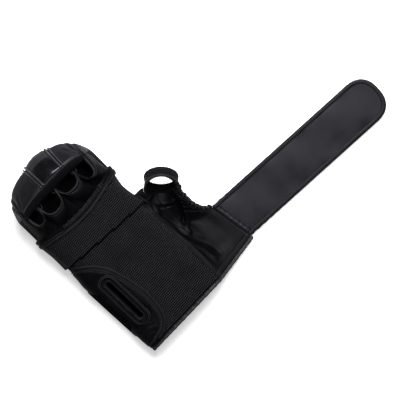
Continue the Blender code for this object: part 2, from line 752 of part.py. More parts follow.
def ring_point(turn, along, grow=0.0):
    """Point of the thumb ring's outer face; turn is 0 at its upper side, along runs from the near to the far rim."""
    turn, along = np.broadcast_arrays(turn, along)
    axis, across, up = ring_axes()
    height = RING_NEAR_HEIGHT + (RING_FAR_HEIGHT - RING_NEAR_HEIGHT) * along
    centre = np.array([RING_X, RING_Y, RING_Z]) + axis * (RING_LENGTH * along)[..., None]
    centre = centre + up * (RING_FAR_SHIFT * along)[..., None]
    wide = (RING_ACROSS / 2 + grow) * np.sin(turn)
    tall = (height / 2 + grow) * np.cos(turn)
    return centre + across * wide[..., None] + up * tall[..., None]


def make_thumb_ring():
    turn = np.linspace(0, 2 * math.pi, 28, endpoint=False)
    along = np.linspace(0, 1, 4)
    outer = ring_point(turn[None, :], along[:, None])
    inner = ring_point(turn[None, :], along[:, None], -RING_WALL)
    return wall("thumb_ring", outer, inner, "leather", closed=True)


def make_thumb_tab():
    """Gathered tab that ties the thumb ring to the palm."""
    v, u = np.linspace(0, 1, 5), np.linspace(0, 1, 5)[None, :, None]
    y = crease_y(THUMB_SEAM_X) + TAB_SHIFT + TAB_WIDTH * v
    palm_side = palm_point(TAB_PALM_ANGLE, y, LAP_TOP + LEATHER_WALL + CLEARANCE)[:, None]
    turn = np.radians(TAB_TURN_LOW + (TAB_TURN_HIGH - TAB_TURN_LOW) * v)
    ring_side = ring_point(turn, 0.06, LEATHER_WALL / 2 + 2 * CLEARANCE)[:, None]
    grid = palm_side * (1 - u) + ring_side * u
    grid[..., 2] -= TAB_SAG * np.sin(math.pi * u[..., 0])
    normal = grid_normals(grid)
    normal = normal * np.sign(np.mean(normal[..., 2]))
    half = LEATHER_WALL / 2
    wall("thumb_tab", grid + normal * half, grid - normal * half, "leather")


def strap_axes():
    along = np.array([math.cos(STRAP_TILT), math.sin(STRAP_TILT), 0.0])
    return along, np.array([-along[1], along[0], 0.0])


def strap_point(length, width, height):
    length, width, height = np.broadcast_arrays(length, width, height)
    along, across = strap_axes()
    base = np.array([STRAP_X, STRAP_Y, 0.0])
    flat = base + along * length[..., None] + across * width[..., None]
    return flat + np.array([0.0, 0.0, 1.0]) * height[..., None]


STRAP_EDGE_Z = STRAP_SEAT + STRAP_THICKNESS / 2


def strap_root(width, gap):
    """Place along the strap of its slanting seam."""
    return gap - STRAP_SKEW * width


def panel_corner(side):
    """Corner of the thumb panel beside the strap."""
    width = side * (STRAP_WIDTH / 2 - 0.001)
    return strap_point(strap_root(width, -2 * CLEARANCE), width, STRAP_EDGE_Z)


def thumb_edge(share):
    """Free edge of the thumb panel, from the strap's upper corner to the thumb ring."""
    start = panel_corner(1)
    end = ring_point(math.radians(262), 0.0, LEATHER_WALL / 2 + CLEARANCE)
    along = through(column(EDGE_ROWS, "along"), column(EDGE_ROWS, "along"), share)
    out = through(column(EDGE_ROWS, "along"), column(EDGE_ROWS, "out"), share)
    rise = through(column(EDGE_ROWS, "along"), column(EDGE_ROWS, "rise"), share)
    flat = end - start
    length = np.linalg.norm(flat[:2])
    side = np.array([flat[1], -flat[0], 0.0]) / length
    point = start + flat * along[:, None] + side * (out * length)[:, None]
    point[:, 2] = start[2] + flat[2] * rise
    return point


def polyline(points, share):
    """Points at shares of a path's length."""
    points = np.asarray(points, float)
    length = np.concatenate([[0], np.cumsum(np.linalg.norm(np.diff(points, axis=0), axis=1))])
    return np.stack([np.interp(share * length[-1], length, points[:, k]) for k in range(3)], -1)


def thumb_panel_grid(rows=17, columns=15):
    """Middle face of the thumb panel, blended between the mesh seam, the strap, the cuff and the thumb ring."""
    u, v = np.linspace(0, 1, columns), np.linspace(0, 1, rows)
    seam = float(palm_angle(THUMB_SEAM_X)) - THUMB_SEAM_GAP
    top_y = crease_y(THUMB_SEAM_X) - THUMB_PANEL_DROP
    seam_y = WRIST_EDGE_Y + (top_y - WRIST_EDGE_Y) * v
    left = palm_point(seam, seam_y, LEATHER_WALL / 2)
    corner = panel_corner(-1)
    right = polyline(np.concatenate([[corner], thumb_edge(np.linspace(0, 1, 16))]), v)
    turns = np.radians(np.linspace(132, 262, 20))
    ring = ring_point(turns, 0.0, LEATHER_WALL / 2 + CLEARANCE)
    axis, _, _ = ring_axes()
    top = polyline(np.concatenate([left[-1:], ring - axis * 0.0004]), u)
    sag = (left[0] * (1 - u[:, None]) + corner * u[:, None])
    bottom = sag - np.array([0.0, 0.0, 0.004]) * np.sin(math.pi * u)[:, None]
    uu, vv = u[None, :, None], v[:, None, None]
    grid = (1 - vv) * bottom[None] + vv * top[None] + (1 - uu) * left[:, None] + uu * right[:, None]
    corners = (1 - uu) * (1 - vv) * left[0] + uu * (1 - vv) * corner + (1 - uu) * vv * left[-1]
    grid = grid - corners - uu * vv * right[-1]
    valley = np.sin(math.pi * uu[..., 0]) * np.sin(math.pi * vv[..., 0])
    grid[..., 2] -= 0.008 * valley * smooth((vv[..., 0] - 0.2) / 0.6)
    return grid


def make_thumb_panel():
    grid = thumb_panel_grid()
    normal = grid_normals(grid)
    normal = normal * np.sign(np.mean(normal[..., 2]))
    half = LEATHER_WALL / 2
    wall("thumb_panel", grid + normal * half, grid - normal * half, "leather")

    edge = thumb_edge(np.linspace(0.06, 0.97, 14))
    tangent = unit(np.gradient(edge, axis=0))
    out = unit(np.cross(tangent, np.array([0.0, 0.0, 1.0])))
    path = edge + out * (GATHER_RADIUS + CLEARANCE + 0.0004)
    sweep("thumb_gather", path, (0, 0, 1), round_section(GATHER_RADIUS), "binding")

    hem = grid[0, 1:-1] - np.array([0.0, BINDING_RADIUS + CLEARANCE, 0.0])
    sweep("cuff_binding", hem, (0, 1, 0), round_section(BINDING_RADIUS), "binding")


def strap_edge(inset, gap, count=44):
    """Outline of the strap inside its edge by inset, from one end of its root to the other round the tip."""
    half = STRAP_WIDTH / 2 - inset
    turn = np.linspace(-math.pi / 2, math.pi / 2, count - 8)
    depth = STRAP_END_DEPTH - inset
    tip_length = STRAP_LENGTH - STRAP_END_DEPTH + depth * np.abs(np.cos(turn)) ** 0.80
    tip_width = half * power(np.sin(turn), 0.80)
    share = np.linspace(0, 1, 5)[:-1]
    lower, upper = strap_root(-half, gap), strap_root(half, gap)
    straight = STRAP_LENGTH - STRAP_END_DEPTH
    near, far = lower + (straight - lower) * share, upper + (straight - upper) * share
    length = np.concatenate([near, tip_length, far[::-1]])
    width = np.concatenate([np.full(4, -half), tip_width, np.full(4, half)])
    return length, width


def plate(name, length, width, low, high, slot):
    """Flat plate on the strap, from its outline."""
    rim = np.stack([strap_point(length, width, low), strap_point(length, width, high)])
    count = rim.shape[1]
    faces = [tuple(range(count)), tuple(range(count, 2 * count))]
    faces += [(j, (j + 1) % count, count + (j + 1) % count, count + j) for j in range(count)]
    return add_object(name, rim.reshape(-1, 3), faces, slot)


def make_strap():
    inside = STRAP_BINDING_WIDTH + CLEARANCE
    length, width = strap_edge(inside, 0.0)
    plate("strap", length, width, STRAP_SEAT, STRAP_SEAT + STRAP_THICKNESS, "strap_leather")

    length, width = strap_edge(STRAP_BINDING_WIDTH / 2, 3 * CLEARANCE)
    path = strap_point(length, width, STRAP_BINDING_HEIGHT / 2)
    turn = np.arange(8) * math.pi / 4 + math.pi / 8
    section = np.stack([
        STRAP_BINDING_WIDTH / 2 * power(np.cos(turn), 0.7) / math.cos(math.pi / 8) ** 0.7,
        STRAP_BINDING_HEIGHT / 2 * power(np.sin(turn), 0.7) / math.cos(math.pi / 8) ** 0.7,
    ], -1)
    tangent = unit(np.gradient(path, axis=0))
    out = np.cross(tangent, np.array([0.0, 0.0, 1.0]))
    sweep("strap_binding", path, out, section, "binding")

    half = STRAP_WIDTH / 2 - inside - CLEARANCE
    top = STRAP_SEAT + STRAP_THICKNESS + CLEARANCE
    width = np.array([-half, -half, half, half])
    plate(
        "strap_seam",
        strap_root(width, np.array([0.0018, 0.0068, 0.0068, 0.0018])),
        width,
        top, top + LEATHER_WALL / 2, "binding",
    )
    near, far = STRAP_LENGTH - STRAP_END_DEPTH - HOOK_LENGTH, STRAP_LENGTH - STRAP_END_DEPTH
    plate(
        "hook_tape",
        np.array([near, far, far, near]),
        np.array([-half, -half, half, half]),
        0.0, HOOK_WALL, "hook_tape",
    )


def main():
    clear_scene()
    make_pad()
    make_lining()
    make_knuckle_panel()
    make_loop_patch()
    cutter = slot_cutter()
    cut_slot(make_palm(), cutter)
    make_wrist_binding()
    make_reinforcement(cutter)
    make_loops()
    make_thumb_ring()
    make_thumb_tab()
    make_thumb_panel()
    make_strap()


main()
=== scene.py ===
"""Looks of the padded grappling glove: soft leather, knitted palm, ribbed lining, bindings and seams.

Metres, +Z up, in the same frame as the CAD model. +Y runs to the fingers and +X to the thumb.
"""

from collections import defaultdict, namedtuple
import math

import bpy
import numpy as np
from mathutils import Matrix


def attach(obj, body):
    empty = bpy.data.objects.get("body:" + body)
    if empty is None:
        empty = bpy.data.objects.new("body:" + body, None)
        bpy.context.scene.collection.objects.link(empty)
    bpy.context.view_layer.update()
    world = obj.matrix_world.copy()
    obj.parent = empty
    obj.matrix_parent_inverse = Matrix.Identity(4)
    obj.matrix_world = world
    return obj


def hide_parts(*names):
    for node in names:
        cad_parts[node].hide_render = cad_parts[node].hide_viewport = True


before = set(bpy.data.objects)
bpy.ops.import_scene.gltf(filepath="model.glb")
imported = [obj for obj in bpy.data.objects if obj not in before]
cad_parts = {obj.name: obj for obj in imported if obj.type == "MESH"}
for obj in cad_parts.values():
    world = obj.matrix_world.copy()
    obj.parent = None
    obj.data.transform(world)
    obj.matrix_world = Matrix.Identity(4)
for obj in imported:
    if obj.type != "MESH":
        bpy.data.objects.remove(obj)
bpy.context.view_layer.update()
MM = 0.001

# Sizes of the glove, as in the CAD model, apart from LINING_SHARE: here the ribs reach nearly to the
# padding's edge.
CLEARANCE = 0.0003
LEATHER_WALL = 0.0018
MESH_WALL = 0.0024
LINING_WALL = 0.0012
LINING_SHARE = 0.90
PATCH_WALL = 0.0015
GLOVE_LENGTH = 0.270
WRIST_SETBACK = 0.080
PAD_WIDTH = 0.130
PAD_CENTRE = -0.003
CURL_HEIGHT = 0.088
SIDE_RUN = 0.231
SIDE_BLEND = 0.004
SIDE_WALL = 0.008
SIDE_THINNING = 0.35
CURL_SIDE_THINNING = 0.70
EDGE_LIFT = 0.005
CROWN_DROP = 0.22
PAD_FLAT_SHARE = 0.55
PAD_ROUNDING = 2.6
PALM_WIDTH = 0.1215
PALM_CROWN = 0.031
PALM_SQUARENESS = 0.55
CREASE_Y = 0.058
CREASE_SLANT = -0.095
CREASE_LAP = 0.008
THUMB_SEAM_X = 0.0555
THUMB_SEAM_GAP = 0.05
THUMB_PANEL_DROP = 0.006
WRIST_EDGE_Y = -0.0795
BINDING_RADIUS = 0.0026
BAND_Y = 0.0935
BAND_DEPTH = 0.0105
BAND_SWEEP = 0.011
LOOP_DEPTH = 0.0270
LOOP_BELLY = 0.0030
LOOP_WALL = 0.0016
LOOP_RISE = 0.06
PANEL_LENGTH = 0.134
PANEL_BULGE = 0.042
PANEL_LOW_Y = -0.077
SLOT_X = -0.044
SLOT_Y = -0.0135
SLOT_LENGTH = 0.061
SLOT_WIDTH = 0.0056
SLOT_RING_LENGTH = 0.080
SLOT_RING_WIDTH = 0.021
SLOT_RING_RISE = 0.0016
WELT_RADIUS = 0.0016
PANEL_WALL = 0.0012
RING_X = 0.086
RING_Y = 0.048
RING_Z = 0.0315
RING_HEADING = math.radians(43.8)
RING_PITCH = math.radians(44.5)
RING_LENGTH = 0.020
RING_ACROSS = 0.042
RING_NEAR_HEIGHT = 0.050
RING_FAR_HEIGHT = 0.033
RING_FAR_SHIFT = 0.0035
RING_WALL = 0.0022
TAB_TURN_LOW = 122.0
TAB_TURN_HIGH = 88.0
TAB_PALM_ANGLE = 0.30
TAB_SHIFT = 0.0015
TAB_WIDTH = 0.0115
TAB_SAG = 0.0025
STRAP_LENGTH = 0.247
STRAP_WIDTH = 0.060
STRAP_THICKNESS = 0.0035
STRAP_TILT = math.radians(-4.4)
STRAP_SKEW = 0.21
STRAP_END_DEPTH = 0.030
STRAP_X = 0.1185
STRAP_Y = -0.0425
STRAP_SEAT = 0.0016
STRAP_BINDING_WIDTH = 0.0064
STRAP_BINDING_HEIGHT = 0.0058
GATHER_RADIUS = 0.0027
LINED_GAP = 0.0014

PadRow = namedtuple("PadRow", "run rise inner_run inner_rise lift half shift")
PAD_ROWS = (
    # Shares along the padding, as in the CAD model: its outer and inner faces, its seat, half width and
    # shift.
    PadRow(run=0.000, rise=0.000, inner_run=0.000, inner_rise=0.202, lift=1.0, half=0.975, shift=1.0),
    PadRow(run=0.040, rise=0.000, inner_run=0.040, inner_rise=0.202, lift=1.0, half=0.980, shift=1.0),
    PadRow(run=0.400, rise=0.000, inner_run=0.400, inner_rise=0.202, lift=1.0, half=1.010, shift=1.1),
    PadRow(run=0.470, rise=0.000, inner_run=0.470, inner_rise=0.202, lift=0.0, half=0.985, shift=1.1),
    PadRow(run=0.610, rise=0.000, inner_run=0.605, inner_rise=0.206, lift=0.0, half=0.925, shift=1.8),
    PadRow(run=0.720, rise=0.030, inner_run=0.710, inner_rise=0.245, lift=0.0, half=0.985, shift=1.2),
    PadRow(run=0.830, rise=0.130, inner_run=0.790, inner_rise=0.385, lift=0.0, half=0.990, shift=1.0),
    PadRow(run=0.920, rise=0.310, inner_run=0.845, inner_rise=0.530, lift=0.0, half=0.980, shift=1.0),
    PadRow(run=0.980, rise=0.490, inner_run=0.875, inner_rise=0.615, lift=0.0, half=0.965, shift=1.0),
    PadRow(run=0.990, rise=0.650, inner_run=0.886, inner_rise=0.690, lift=0.0, half=0.950, shift=1.0),
    PadRow(run=0.963, rise=0.790, inner_run=0.884, inner_rise=0.755, lift=0.0, half=0.930, shift=1.0),
    PadRow(run=0.922, rise=0.905, inner_run=0.868, inner_rise=0.810, lift=0.0, half=0.905, shift=1.0),
    PadRow(run=0.876, rise=1.000, inner_run=0.845, inner_rise=0.865, lift=0.0, half=0.880, shift=1.0),
)
FLAT_ROWS = 5
DOME_POWER = 2.5
EDGE_POWER = 3
LIFT_START = 0.70
LIFT_REACH = 0.30
CROWN_RUNS = (-0.03, 0.15, 0.35, 0.55, 0.66, 0.80)
CROWN_SHARES = (0.60, 0.66, 0.76, 0.88, 0.97, 1.00)
FOLD_RIMS = (-0.93, -0.60, -0.03, 0.54, 0.93)
FOLD_ROOTS = (-1.00, -0.52, 0.08, 0.60, 1.00)
FINGERS = ("little", "ring", "middle", "index")
LOOP_DEPTH_SHARE = {"little": 0.85, "ring": 1.0, "middle": 0.85, "index": 1.0}
OUTER_LOOP_SIDES = {"little": -1, "index": 1}
PANEL_ALONG = (0.000, 0.025, 0.085, 0.200, 0.360, 0.550, 0.730, 0.850, 0.930, 1.000)
PANEL_BULGES = (0.12, 0.53, 0.80, 0.95, 1.00, 0.92, 0.78, 0.59, 0.36, 0.10)
EDGE_ALONG = (0.00, 0.21, 0.44, 0.66, 0.85, 1.00)
EDGE_OUT = (0.000, -0.155, -0.175, -0.125, -0.050, 0.000)
EDGE_RISE = (0.00, 0.10, 0.30, 0.57, 0.80, 1.00)


def through(knots, values, at):
    """Smooth curve through table rows that never overshoots them."""
    knots, values = np.asarray(knots, float), np.asarray(values, float)
    step = np.diff(knots)
    slope = np.diff(values) / step
    tangent = np.zeros(len(knots))
    tangent[0], tangent[-1] = slope[0], slope[-1]
    same = slope[1:] * slope[:-1] > 0
    before, after = slope[:-1][same], slope[1:][same]
    tangent[1:-1][same] = 2 * before * after / (before + after)
    at = np.clip(at, knots[0], knots[-1])
    i = np.clip(np.searchsorted(knots, at, side="right") - 1, 0, len(step) - 1)
    t = (at - knots[i]) / step[i]
    start = (1 + 2 * t) * (1 - t) ** 2 * values[i] + t * (1 - t) ** 2 * step[i] * tangent[i]
    end = t * t * (3 - 2 * t) * values[i + 1] + t * t * (t - 1) * step[i] * tangent[i + 1]
    return start + end


def smooth(t):
    t = np.clip(t, 0, 1)
    return t * t * (3 - 2 * t)


def power(value, exponent):
    """Power that keeps the sign, for superellipse outlines."""
    return np.sign(value) * np.abs(value) ** exponent


def unit(vectors):
    vectors = np.asarray(vectors, float)
    return vectors / np.maximum(np.linalg.norm(vectors, axis=-1, keepdims=True), 1e-12)


# The padding. A place on it is a station along its rows, a share across from -1 to 1, and a depth from its
# outer face.

PAD_SEAT = PATCH_WALL + CLEARANCE
LAST_STATION = len(PAD_ROWS) - 1.0


def pad_row(name, station):
    return through(np.arange(len(PAD_ROWS)), [getattr(row, name) for row in PAD_ROWS], station)


def pad_y(name, station):
    return -WRIST_SETBACK + GLOVE_LENGTH * pad_row(name, station)


def curl_share(station):
    """0 on the flat back, 1 once the padding stands up."""
    return smooth((station - (FLAT_ROWS - 1)) / 4.0)


def squash(y, limit, across):
    """Draws the guard's sides back to a limit, so that it is a dome from above."""
    past = SIDE_BLEND * np.logaddexp(0.0, (y - limit) / SIDE_BLEND)
    return y - past * (1 - np.sqrt(np.maximum(1 - np.abs(across) ** DOME_POWER, 0.0)))


def pad_point(station, across, depth_share):
    """Point of the padding; depth_share is 0 on its outer face and 1 on its inner face."""
    station, across, depth_share = np.broadcast_arrays(station, across, depth_share)
    curl = curl_share(station)
    limit = -WRIST_SETBACK + SIDE_RUN
    outer_y = squash(pad_y("run", station), limit, across)
    inner_y = squash(pad_y("inner_run", station), limit - SIDE_WALL, across)
    z = CURL_HEIGHT * pad_row("rise", station) + PAD_SEAT * pad_row("lift", station)
    thinning = SIDE_THINNING + (CURL_SIDE_THINNING - SIDE_THINNING) * curl
    to_edge = np.abs(across) ** EDGE_POWER
    thick = (CURL_HEIGHT * pad_row("inner_rise", station) - z) * (1 - thinning * to_edge)
    z = z * (1 - CROWN_DROP * to_edge * curl)
    z = z + EDGE_LIFT * smooth((np.abs(across) - LIFT_START) / LIFT_REACH) * (1 - curl)
    x = PAD_CENTRE * pad_row("shift", station) + 0.5 * PAD_WIDTH * pad_row("half", station) * across
    return np.stack([x, outer_y + (inner_y - outer_y) * depth_share, z + thick * depth_share], -1)


def pad_inward(station, across, depth_share):
    """Unit vector square to a face of the padding, towards the hand."""
    step = 0.1
    ahead = pad_point(np.minimum(station + step, LAST_STATION), across, depth_share)
    back = pad_point(np.maximum(station - step, 0), across, depth_share)
    along = ahead - back
    length = np.hypot(along[..., 1], along[..., 2])
    return np.stack([0 * length, -along[..., 2] / length, along[..., 1] / length], -1)


def pad_skin(across):
    """Depth share of the padding's rounded outer face."""
    past = np.clip((np.abs(across) - PAD_FLAT_SHARE) / (1 - PAD_FLAT_SHARE), 0, 1)
    return 0.5 - 0.5 * (1 - past ** PAD_ROUNDING) ** (1 / PAD_ROUNDING)


def pad_outer(station, across, out):
    station, across = np.broadcast_arrays(station, across)
    skin = pad_skin(across)
    return pad_point(station, across, skin) - pad_inward(station, across, skin) * np.asarray(out)[..., None]


def pad_inner(station, across, out=0.0):
    station, across = np.broadcast_arrays(station, across)
    skin = 1 - pad_skin(across)
    return pad_point(station, across, skin) + pad_inward(station, across, skin) * np.asarray(out)[..., None]


# The palm. A place on it is an angle across, from 0 on the thumb's side to pi on the little finger's side,
# and a y.

PALM_HALF = PALM_WIDTH / 2
FOOT_SHARE = PALM_HALF / (PAD_WIDTH / 2)


def foot_height(y, side):
    """Height of the padding's inner face under the palm's edge."""
    inner = pad_inner(np.linspace(0, FLAT_ROWS + 3.0, 60), side * FOOT_SHARE)
    return np.interp(y, inner[:, 1], inner[:, 2])


def waist(y):
    """Half width of the palm and its middle, which follow the padding's."""
    station = np.linspace(0, FLAT_ROWS + 1.0, 60)
    run = pad_y("run", station)
    half = np.interp(y, run, pad_row("half", station))
    return PALM_HALF * half, PAD_CENTRE * np.interp(y, run, pad_row("shift", station))


def palm_base(angle, y):
    angle, y = np.broadcast_arrays(angle, y)
    cosine, sine = np.cos(angle), np.sin(angle)
    half, centre = waist(y)
    crown = PALM_CROWN * through(CROWN_RUNS, CROWN_SHARES, (y + WRIST_SETBACK) / GLOVE_LENGTH)
    share = (1 + power(cosine, PALM_SQUARENESS)) / 2
    foot = foot_height(y, -1) * (1 - share) + foot_height(y, 1) * share + CLEARANCE
    x = centre + half * power(cosine, PALM_SQUARENESS)
    z = foot + crown * np.maximum(sine, 0.0) ** PALM_SQUARENESS
    return np.stack([x, y, z], -1)


def palm_normal(angle, y):
    step = 0.004
    angle, y = np.broadcast_arrays(angle, y)
    low, high = np.clip(angle - step, 0, math.pi), np.clip(angle + step, 0, math.pi)
    across = palm_base(high, y) - palm_base(low, y)
    along = palm_base(angle, y + step) - palm_base(angle, y - step)
    normal = unit(np.cross(along, across))
    ends = (angle < step) | (angle > math.pi - step)
    return np.where(ends[..., None], np.stack([np.sign(math.pi / 2 - angle), 0 * y, 0 * y], -1), normal)


def palm_point(angle, y, offset):
    """Point of the palm's layers; offset is the distance outside the palm mesh's inner face."""
    return palm_base(angle, y) + palm_normal(angle, y) * np.asarray(offset, float)[..., None]


def palm_angle(x, y=0.0):
    half, centre = waist(y)
    return np.arccos(power(np.clip((x - centre) / half, -1, 1), 1 / PALM_SQUARENESS))


def palm_x(angle, y=0.0):
    half, centre = waist(y)
    return centre + half * power(np.cos(angle), PALM_SQUARENESS)


MAIN_TOP = MESH_WALL
LAP_LOW = MAIN_TOP + 2 * CLEARANCE
LAP_TOP = LAP_LOW + MESH_WALL
BAND_LOW = LAP_TOP + CLEARANCE
BAND_TOP = BAND_LOW + LEATHER_WALL


def crease_y(x):
    return CREASE_Y + CREASE_SLANT * x


def band_y(x):
    """Lower edge of the finger band, which sweeps forward at both sides."""
    return BAND_Y + BAND_SWEEP * ((x - PAD_CENTRE) / PALM_HALF) ** 2


def panel_outline(y):
    """Place across of the reinforcing panel's free edge."""
    bulge = through(PANEL_ALONG, PANEL_BULGES, (y - PANEL_LOW_Y) / PANEL_LENGTH)
    return PAD_CENTRE - PALM_HALF + PANEL_BULGE * bulge


ATTACH_STATION = LAST_STATION - 0.9


def lining_point(station, across):
    return pad_inner(station, across, LINING_WALL + 8 * CLEARANCE)


def fold_top(place, side):
    """Where a fold meets the finger guard's lining; side is the way to the loop it belongs to."""
    point = lining_point(ATTACH_STATION, FOLD_RIMS[place] * FOOT_SHARE).reshape(3)
    inner = 0 < place < len(FOLD_RIMS) - 1
    return point + np.array([side * CLEARANCE if inner else 0.0, 0.0, 0.0])


def fold_root(place):
    half, centre = waist(BAND_Y + BAND_DEPTH)
    return centre + half * FOLD_ROOTS[place]


def rim_point(share, depth_share, place):
    """Point of a finger loop's rim between the folds place and place + 1, at a share from fold to fold."""
    turn = math.pi * share
    left, right = fold_top(place, 1), fold_top(place + 1, -1)
    middle, half = (left + right) / 2, (right - left) / 2
    along = -power(np.cos(turn), 0.75)[..., None]
    depth = (np.maximum(np.sin(turn), 0) ** 0.62)[..., None]
    return middle + half * along + unit([0.0, -1.0, LOOP_RISE]) * LOOP_DEPTH * depth_share * depth


def side_edge(rises, side, start, end):
    """Edge of an outer finger loop, which follows the inner rim of the padding up to the guard's end."""
    stations = np.linspace(FLAT_ROWS - 1.0, ATTACH_STATION, 50)
    across = np.interp(stations, (stations[0], stations[-1]), (side * FOOT_SHARE, side * 0.93))
    rim = lining_point(stations, across)
    rim = rim[rim[:, 1] > start[1]]
    path = np.concatenate([start[None], rim[1:-1], end[None]])
    return polyline(path, rises)


def ring_axes():
    """Directions of the thumb ring: out along its axis, across it, and square to both."""
    flat = np.array([math.cos(RING_HEADING), math.sin(RING_HEADING), 0.0])
    axis = flat * math.cos(RING_PITCH) - np.array([0.0, 0.0, math.sin(RING_PITCH)])
    across = np.array([-flat[1], flat[0], 0.0])
    return axis, across, np.cross(axis, across)


def ring_point(turn, along, grow):
    """Point of the thumb ring's outer face; turn is 0 at its top, along runs from near to far rim."""
    turn, along, grow = np.broadcast_arrays(turn, along, grow)
    axis, across, up = ring_axes()
    height = RING_NEAR_HEIGHT + (RING_FAR_HEIGHT - RING_NEAR_HEIGHT) * along
    centre = np.array([RING_X, RING_Y, RING_Z]) + axis * (RING_LENGTH * along)[..., None]
    centre = centre + up * (RING_FAR_SHIFT * along)[..., None]
    wide = (RING_ACROSS / 2 + grow) * np.sin(turn)
    tall = (height / 2 + grow) * np.cos(turn)
    return centre + across * wide[..., None] + up * tall[..., None]


def strap_point(length, width, height):
    length, width, height = np.broadcast_arrays(length, width, height)
    along = np.array([math.cos(STRAP_TILT), math.sin(STRAP_TILT), 0.0])
    across = np.array([-along[1], along[0], 0.0])
    flat = np.array([STRAP_X, STRAP_Y, 0.0]) + along * length[..., None] + across * width[..., None]
    return flat + np.array([0.0, 0.0, 1.0]) * height[..., None]


STRAP_EDGE_Z = STRAP_SEAT + STRAP_THICKNESS / 2


def strap_root(width, gap):
    """Place along the strap of its slanting seam."""
    return gap - STRAP_SKEW * width


def panel_corner(side):
    width = side * (STRAP_WIDTH / 2 - 0.001)
    return strap_point(strap_root(width, -2 * CLEARANCE), width, STRAP_EDGE_Z)


def thumb_edge(share):
    """Free edge of the thumb panel, from the strap's upper corner to the thumb ring."""
    start = panel_corner(1)
    end = ring_point(math.radians(262), 0.0, LEATHER_WALL / 2 + CLEARANCE)
    along, out, rise = (through(EDGE_ALONG, values, share) for values in (EDGE_ALONG, EDGE_OUT, EDGE_RISE))
    flat = end - start
    length = np.linalg.norm(flat[:2])
    side = np.array([flat[1], -flat[0], 0.0]) / length
    point = start + flat * along[:, None] + side * (out * length)[:, None]
    point[:, 2] = start[2] + flat[2] * rise
    return point


def run_along(points):
    """Distance of each point from the start of its path."""
    return np.concatenate([[0], np.cumsum(np.linalg.norm(np.diff(points, axis=0), axis=1))])


def sample(at, length, points):
    """Points of a path at distances from its start."""
    return np.stack([np.interp(at, length, points[:, k]) for k in range(3)], -1)


def polyline(points, share):
    """Points at shares of a path's length."""
    points = np.asarray(points, float)
    length = run_along(points)
    return sample(share * length[-1], length, points)


def ring_sag(turn):
    """1 at the ring's lower side, where the thumb panel's leather runs straight into it, 0 at its sides."""
    return smooth((np.cos(turn - math.radians(197)) - 0.44) / 0.36)


def over_rim(turn):
    """How far outside the ring's outer face the thumb panel meets it; less than 0 where it runs inside."""
    over = LEATHER_WALL / 2 + CLEARANCE
    return over - (over + RING_WALL + LINED_GAP) * ring_sag(turn)


def thumb_panel_grid(v, u):
    """Middle face of the thumb panel, blended between the mesh's seam, the strap, the cuff and the ring."""
    seam = float(palm_angle(THUMB_SEAM_X)) - THUMB_SEAM_GAP
    top_y = crease_y(THUMB_SEAM_X) - THUMB_PANEL_DROP
    left = palm_point(seam, WRIST_EDGE_Y + (top_y - WRIST_EDGE_Y) * v, LEATHER_WALL / 2)
    corner = panel_corner(-1)
    right = polyline(np.concatenate([[corner], thumb_edge(np.linspace(0, 1, 60))]), v)
    turn = np.radians(np.linspace(132, 262, 60))
    ring = ring_point(turn, 0.0, over_rim(turn))
    top = polyline(np.concatenate([left[-1:], ring - ring_axes()[0] * 0.0004]), u)
    bottom = left[0] * (1 - u[:, None]) + corner * u[:, None]
    bottom = bottom - np.array([0.0, 0.0, 0.004]) * np.sin(math.pi * u)[:, None]
    uu, vv = u[None, :, None], v[:, None, None]
    grid = (1 - vv) * bottom[None] + vv * top[None] + (1 - uu) * left[:, None] + uu * right[:, None]
    grid = grid - (1 - uu) * (1 - vv) * left[0] - uu * (1 - vv) * corner - (1 - uu) * vv * left[-1]
    grid = grid - uu * vv * right[-1]
    valley = np.sin(math.pi * uu[..., 0]) * np.sin(math.pi * vv[..., 0])
    grid[..., 2] -= 0.001 * valley
    return grid


# Making meshes.

HEM_STEP = 0.0007
FOLD_TAPER = 0.18
NOISE_WAVES = 12
NOISE_RANGE = 6.6
CORD_SIDES = 14

# A hem's height and width, a groove's depth and width, and how far from the edge its seam lies.
Edge = namedtuple("Edge", "hem hem_width groove groove_width seam")
BAND_EDGE = Edge(hem=0.0010, hem_width=0.0045, groove=0.0009, groove_width=0.0006, seam=0.0052)
LOOP_EDGE = Edge(hem=0.0005, hem_width=0.0034, groove=0.0008, groove_width=0.0006, seam=0.0042)
PANEL_EDGE = Edge(hem=0.0007, hem_width=0.0028, groove=0.0010, groove_width=0.0006, seam=0.0034)
STRIP_EDGE = Edge(hem=0.0004, hem_width=0.0020, groove=0.0004, groove_width=0.0005, seam=0.0026)
RING_EDGE = Edge(hem=0.0006, hem_width=0.0032, groove=0.0005, groove_width=0.0006, seam=0.0040)
THUMB_EDGE = Edge(hem=0.0008, hem_width=0.0018, groove=0.0006, groove_width=0.0007, seam=0.0042)

# A fold's height, which is less than 0 for a crease, its width, and its path looking down, in millimetres.
Fold = namedtuple("Fold", "height width path")


def even(path, step):
    """Points at even steps along a path."""
    count = max(int(round(run_along(path)[-1] / step)), 2)
    return polyline(path, np.linspace(0, 1, count))


def even_values(values, length, step):
    """Values at even steps of the length that runs with them."""
    count = max(int(round(length[-1] / step)), 2)
    return np.interp(np.linspace(0, length[-1], count), length, values)


def even_stations(low, high, step, across=0.0, skin=0.0):
    """Stations of the padding at even distances on its face."""
    station = np.linspace(low, high, 600)
    return even_values(station, run_along(pad_point(station, across, skin)), step)


def dense(length, fine, coarse, reach, low=True, high=True):
    """Shares from 0 to 1 of a length, close together within reach of the ends named."""
    at = np.linspace(0, length, 2000)
    step = np.full(at.shape, coarse)
    for near, distance in ((low, at), (high, length - at)):
        if near:
            step = np.minimum(step, fine + (coarse - fine) * smooth((distance - reach) / reach))
    count = np.concatenate([[0], np.cumsum(np.diff(at) / step[1:])])
    return np.interp(np.linspace(0, count[-1], int(math.ceil(count[-1])) + 1), count, at) / length


def grid_normals(grid):
    return unit(np.cross(np.gradient(grid, axis=0), np.gradient(grid, axis=1)))


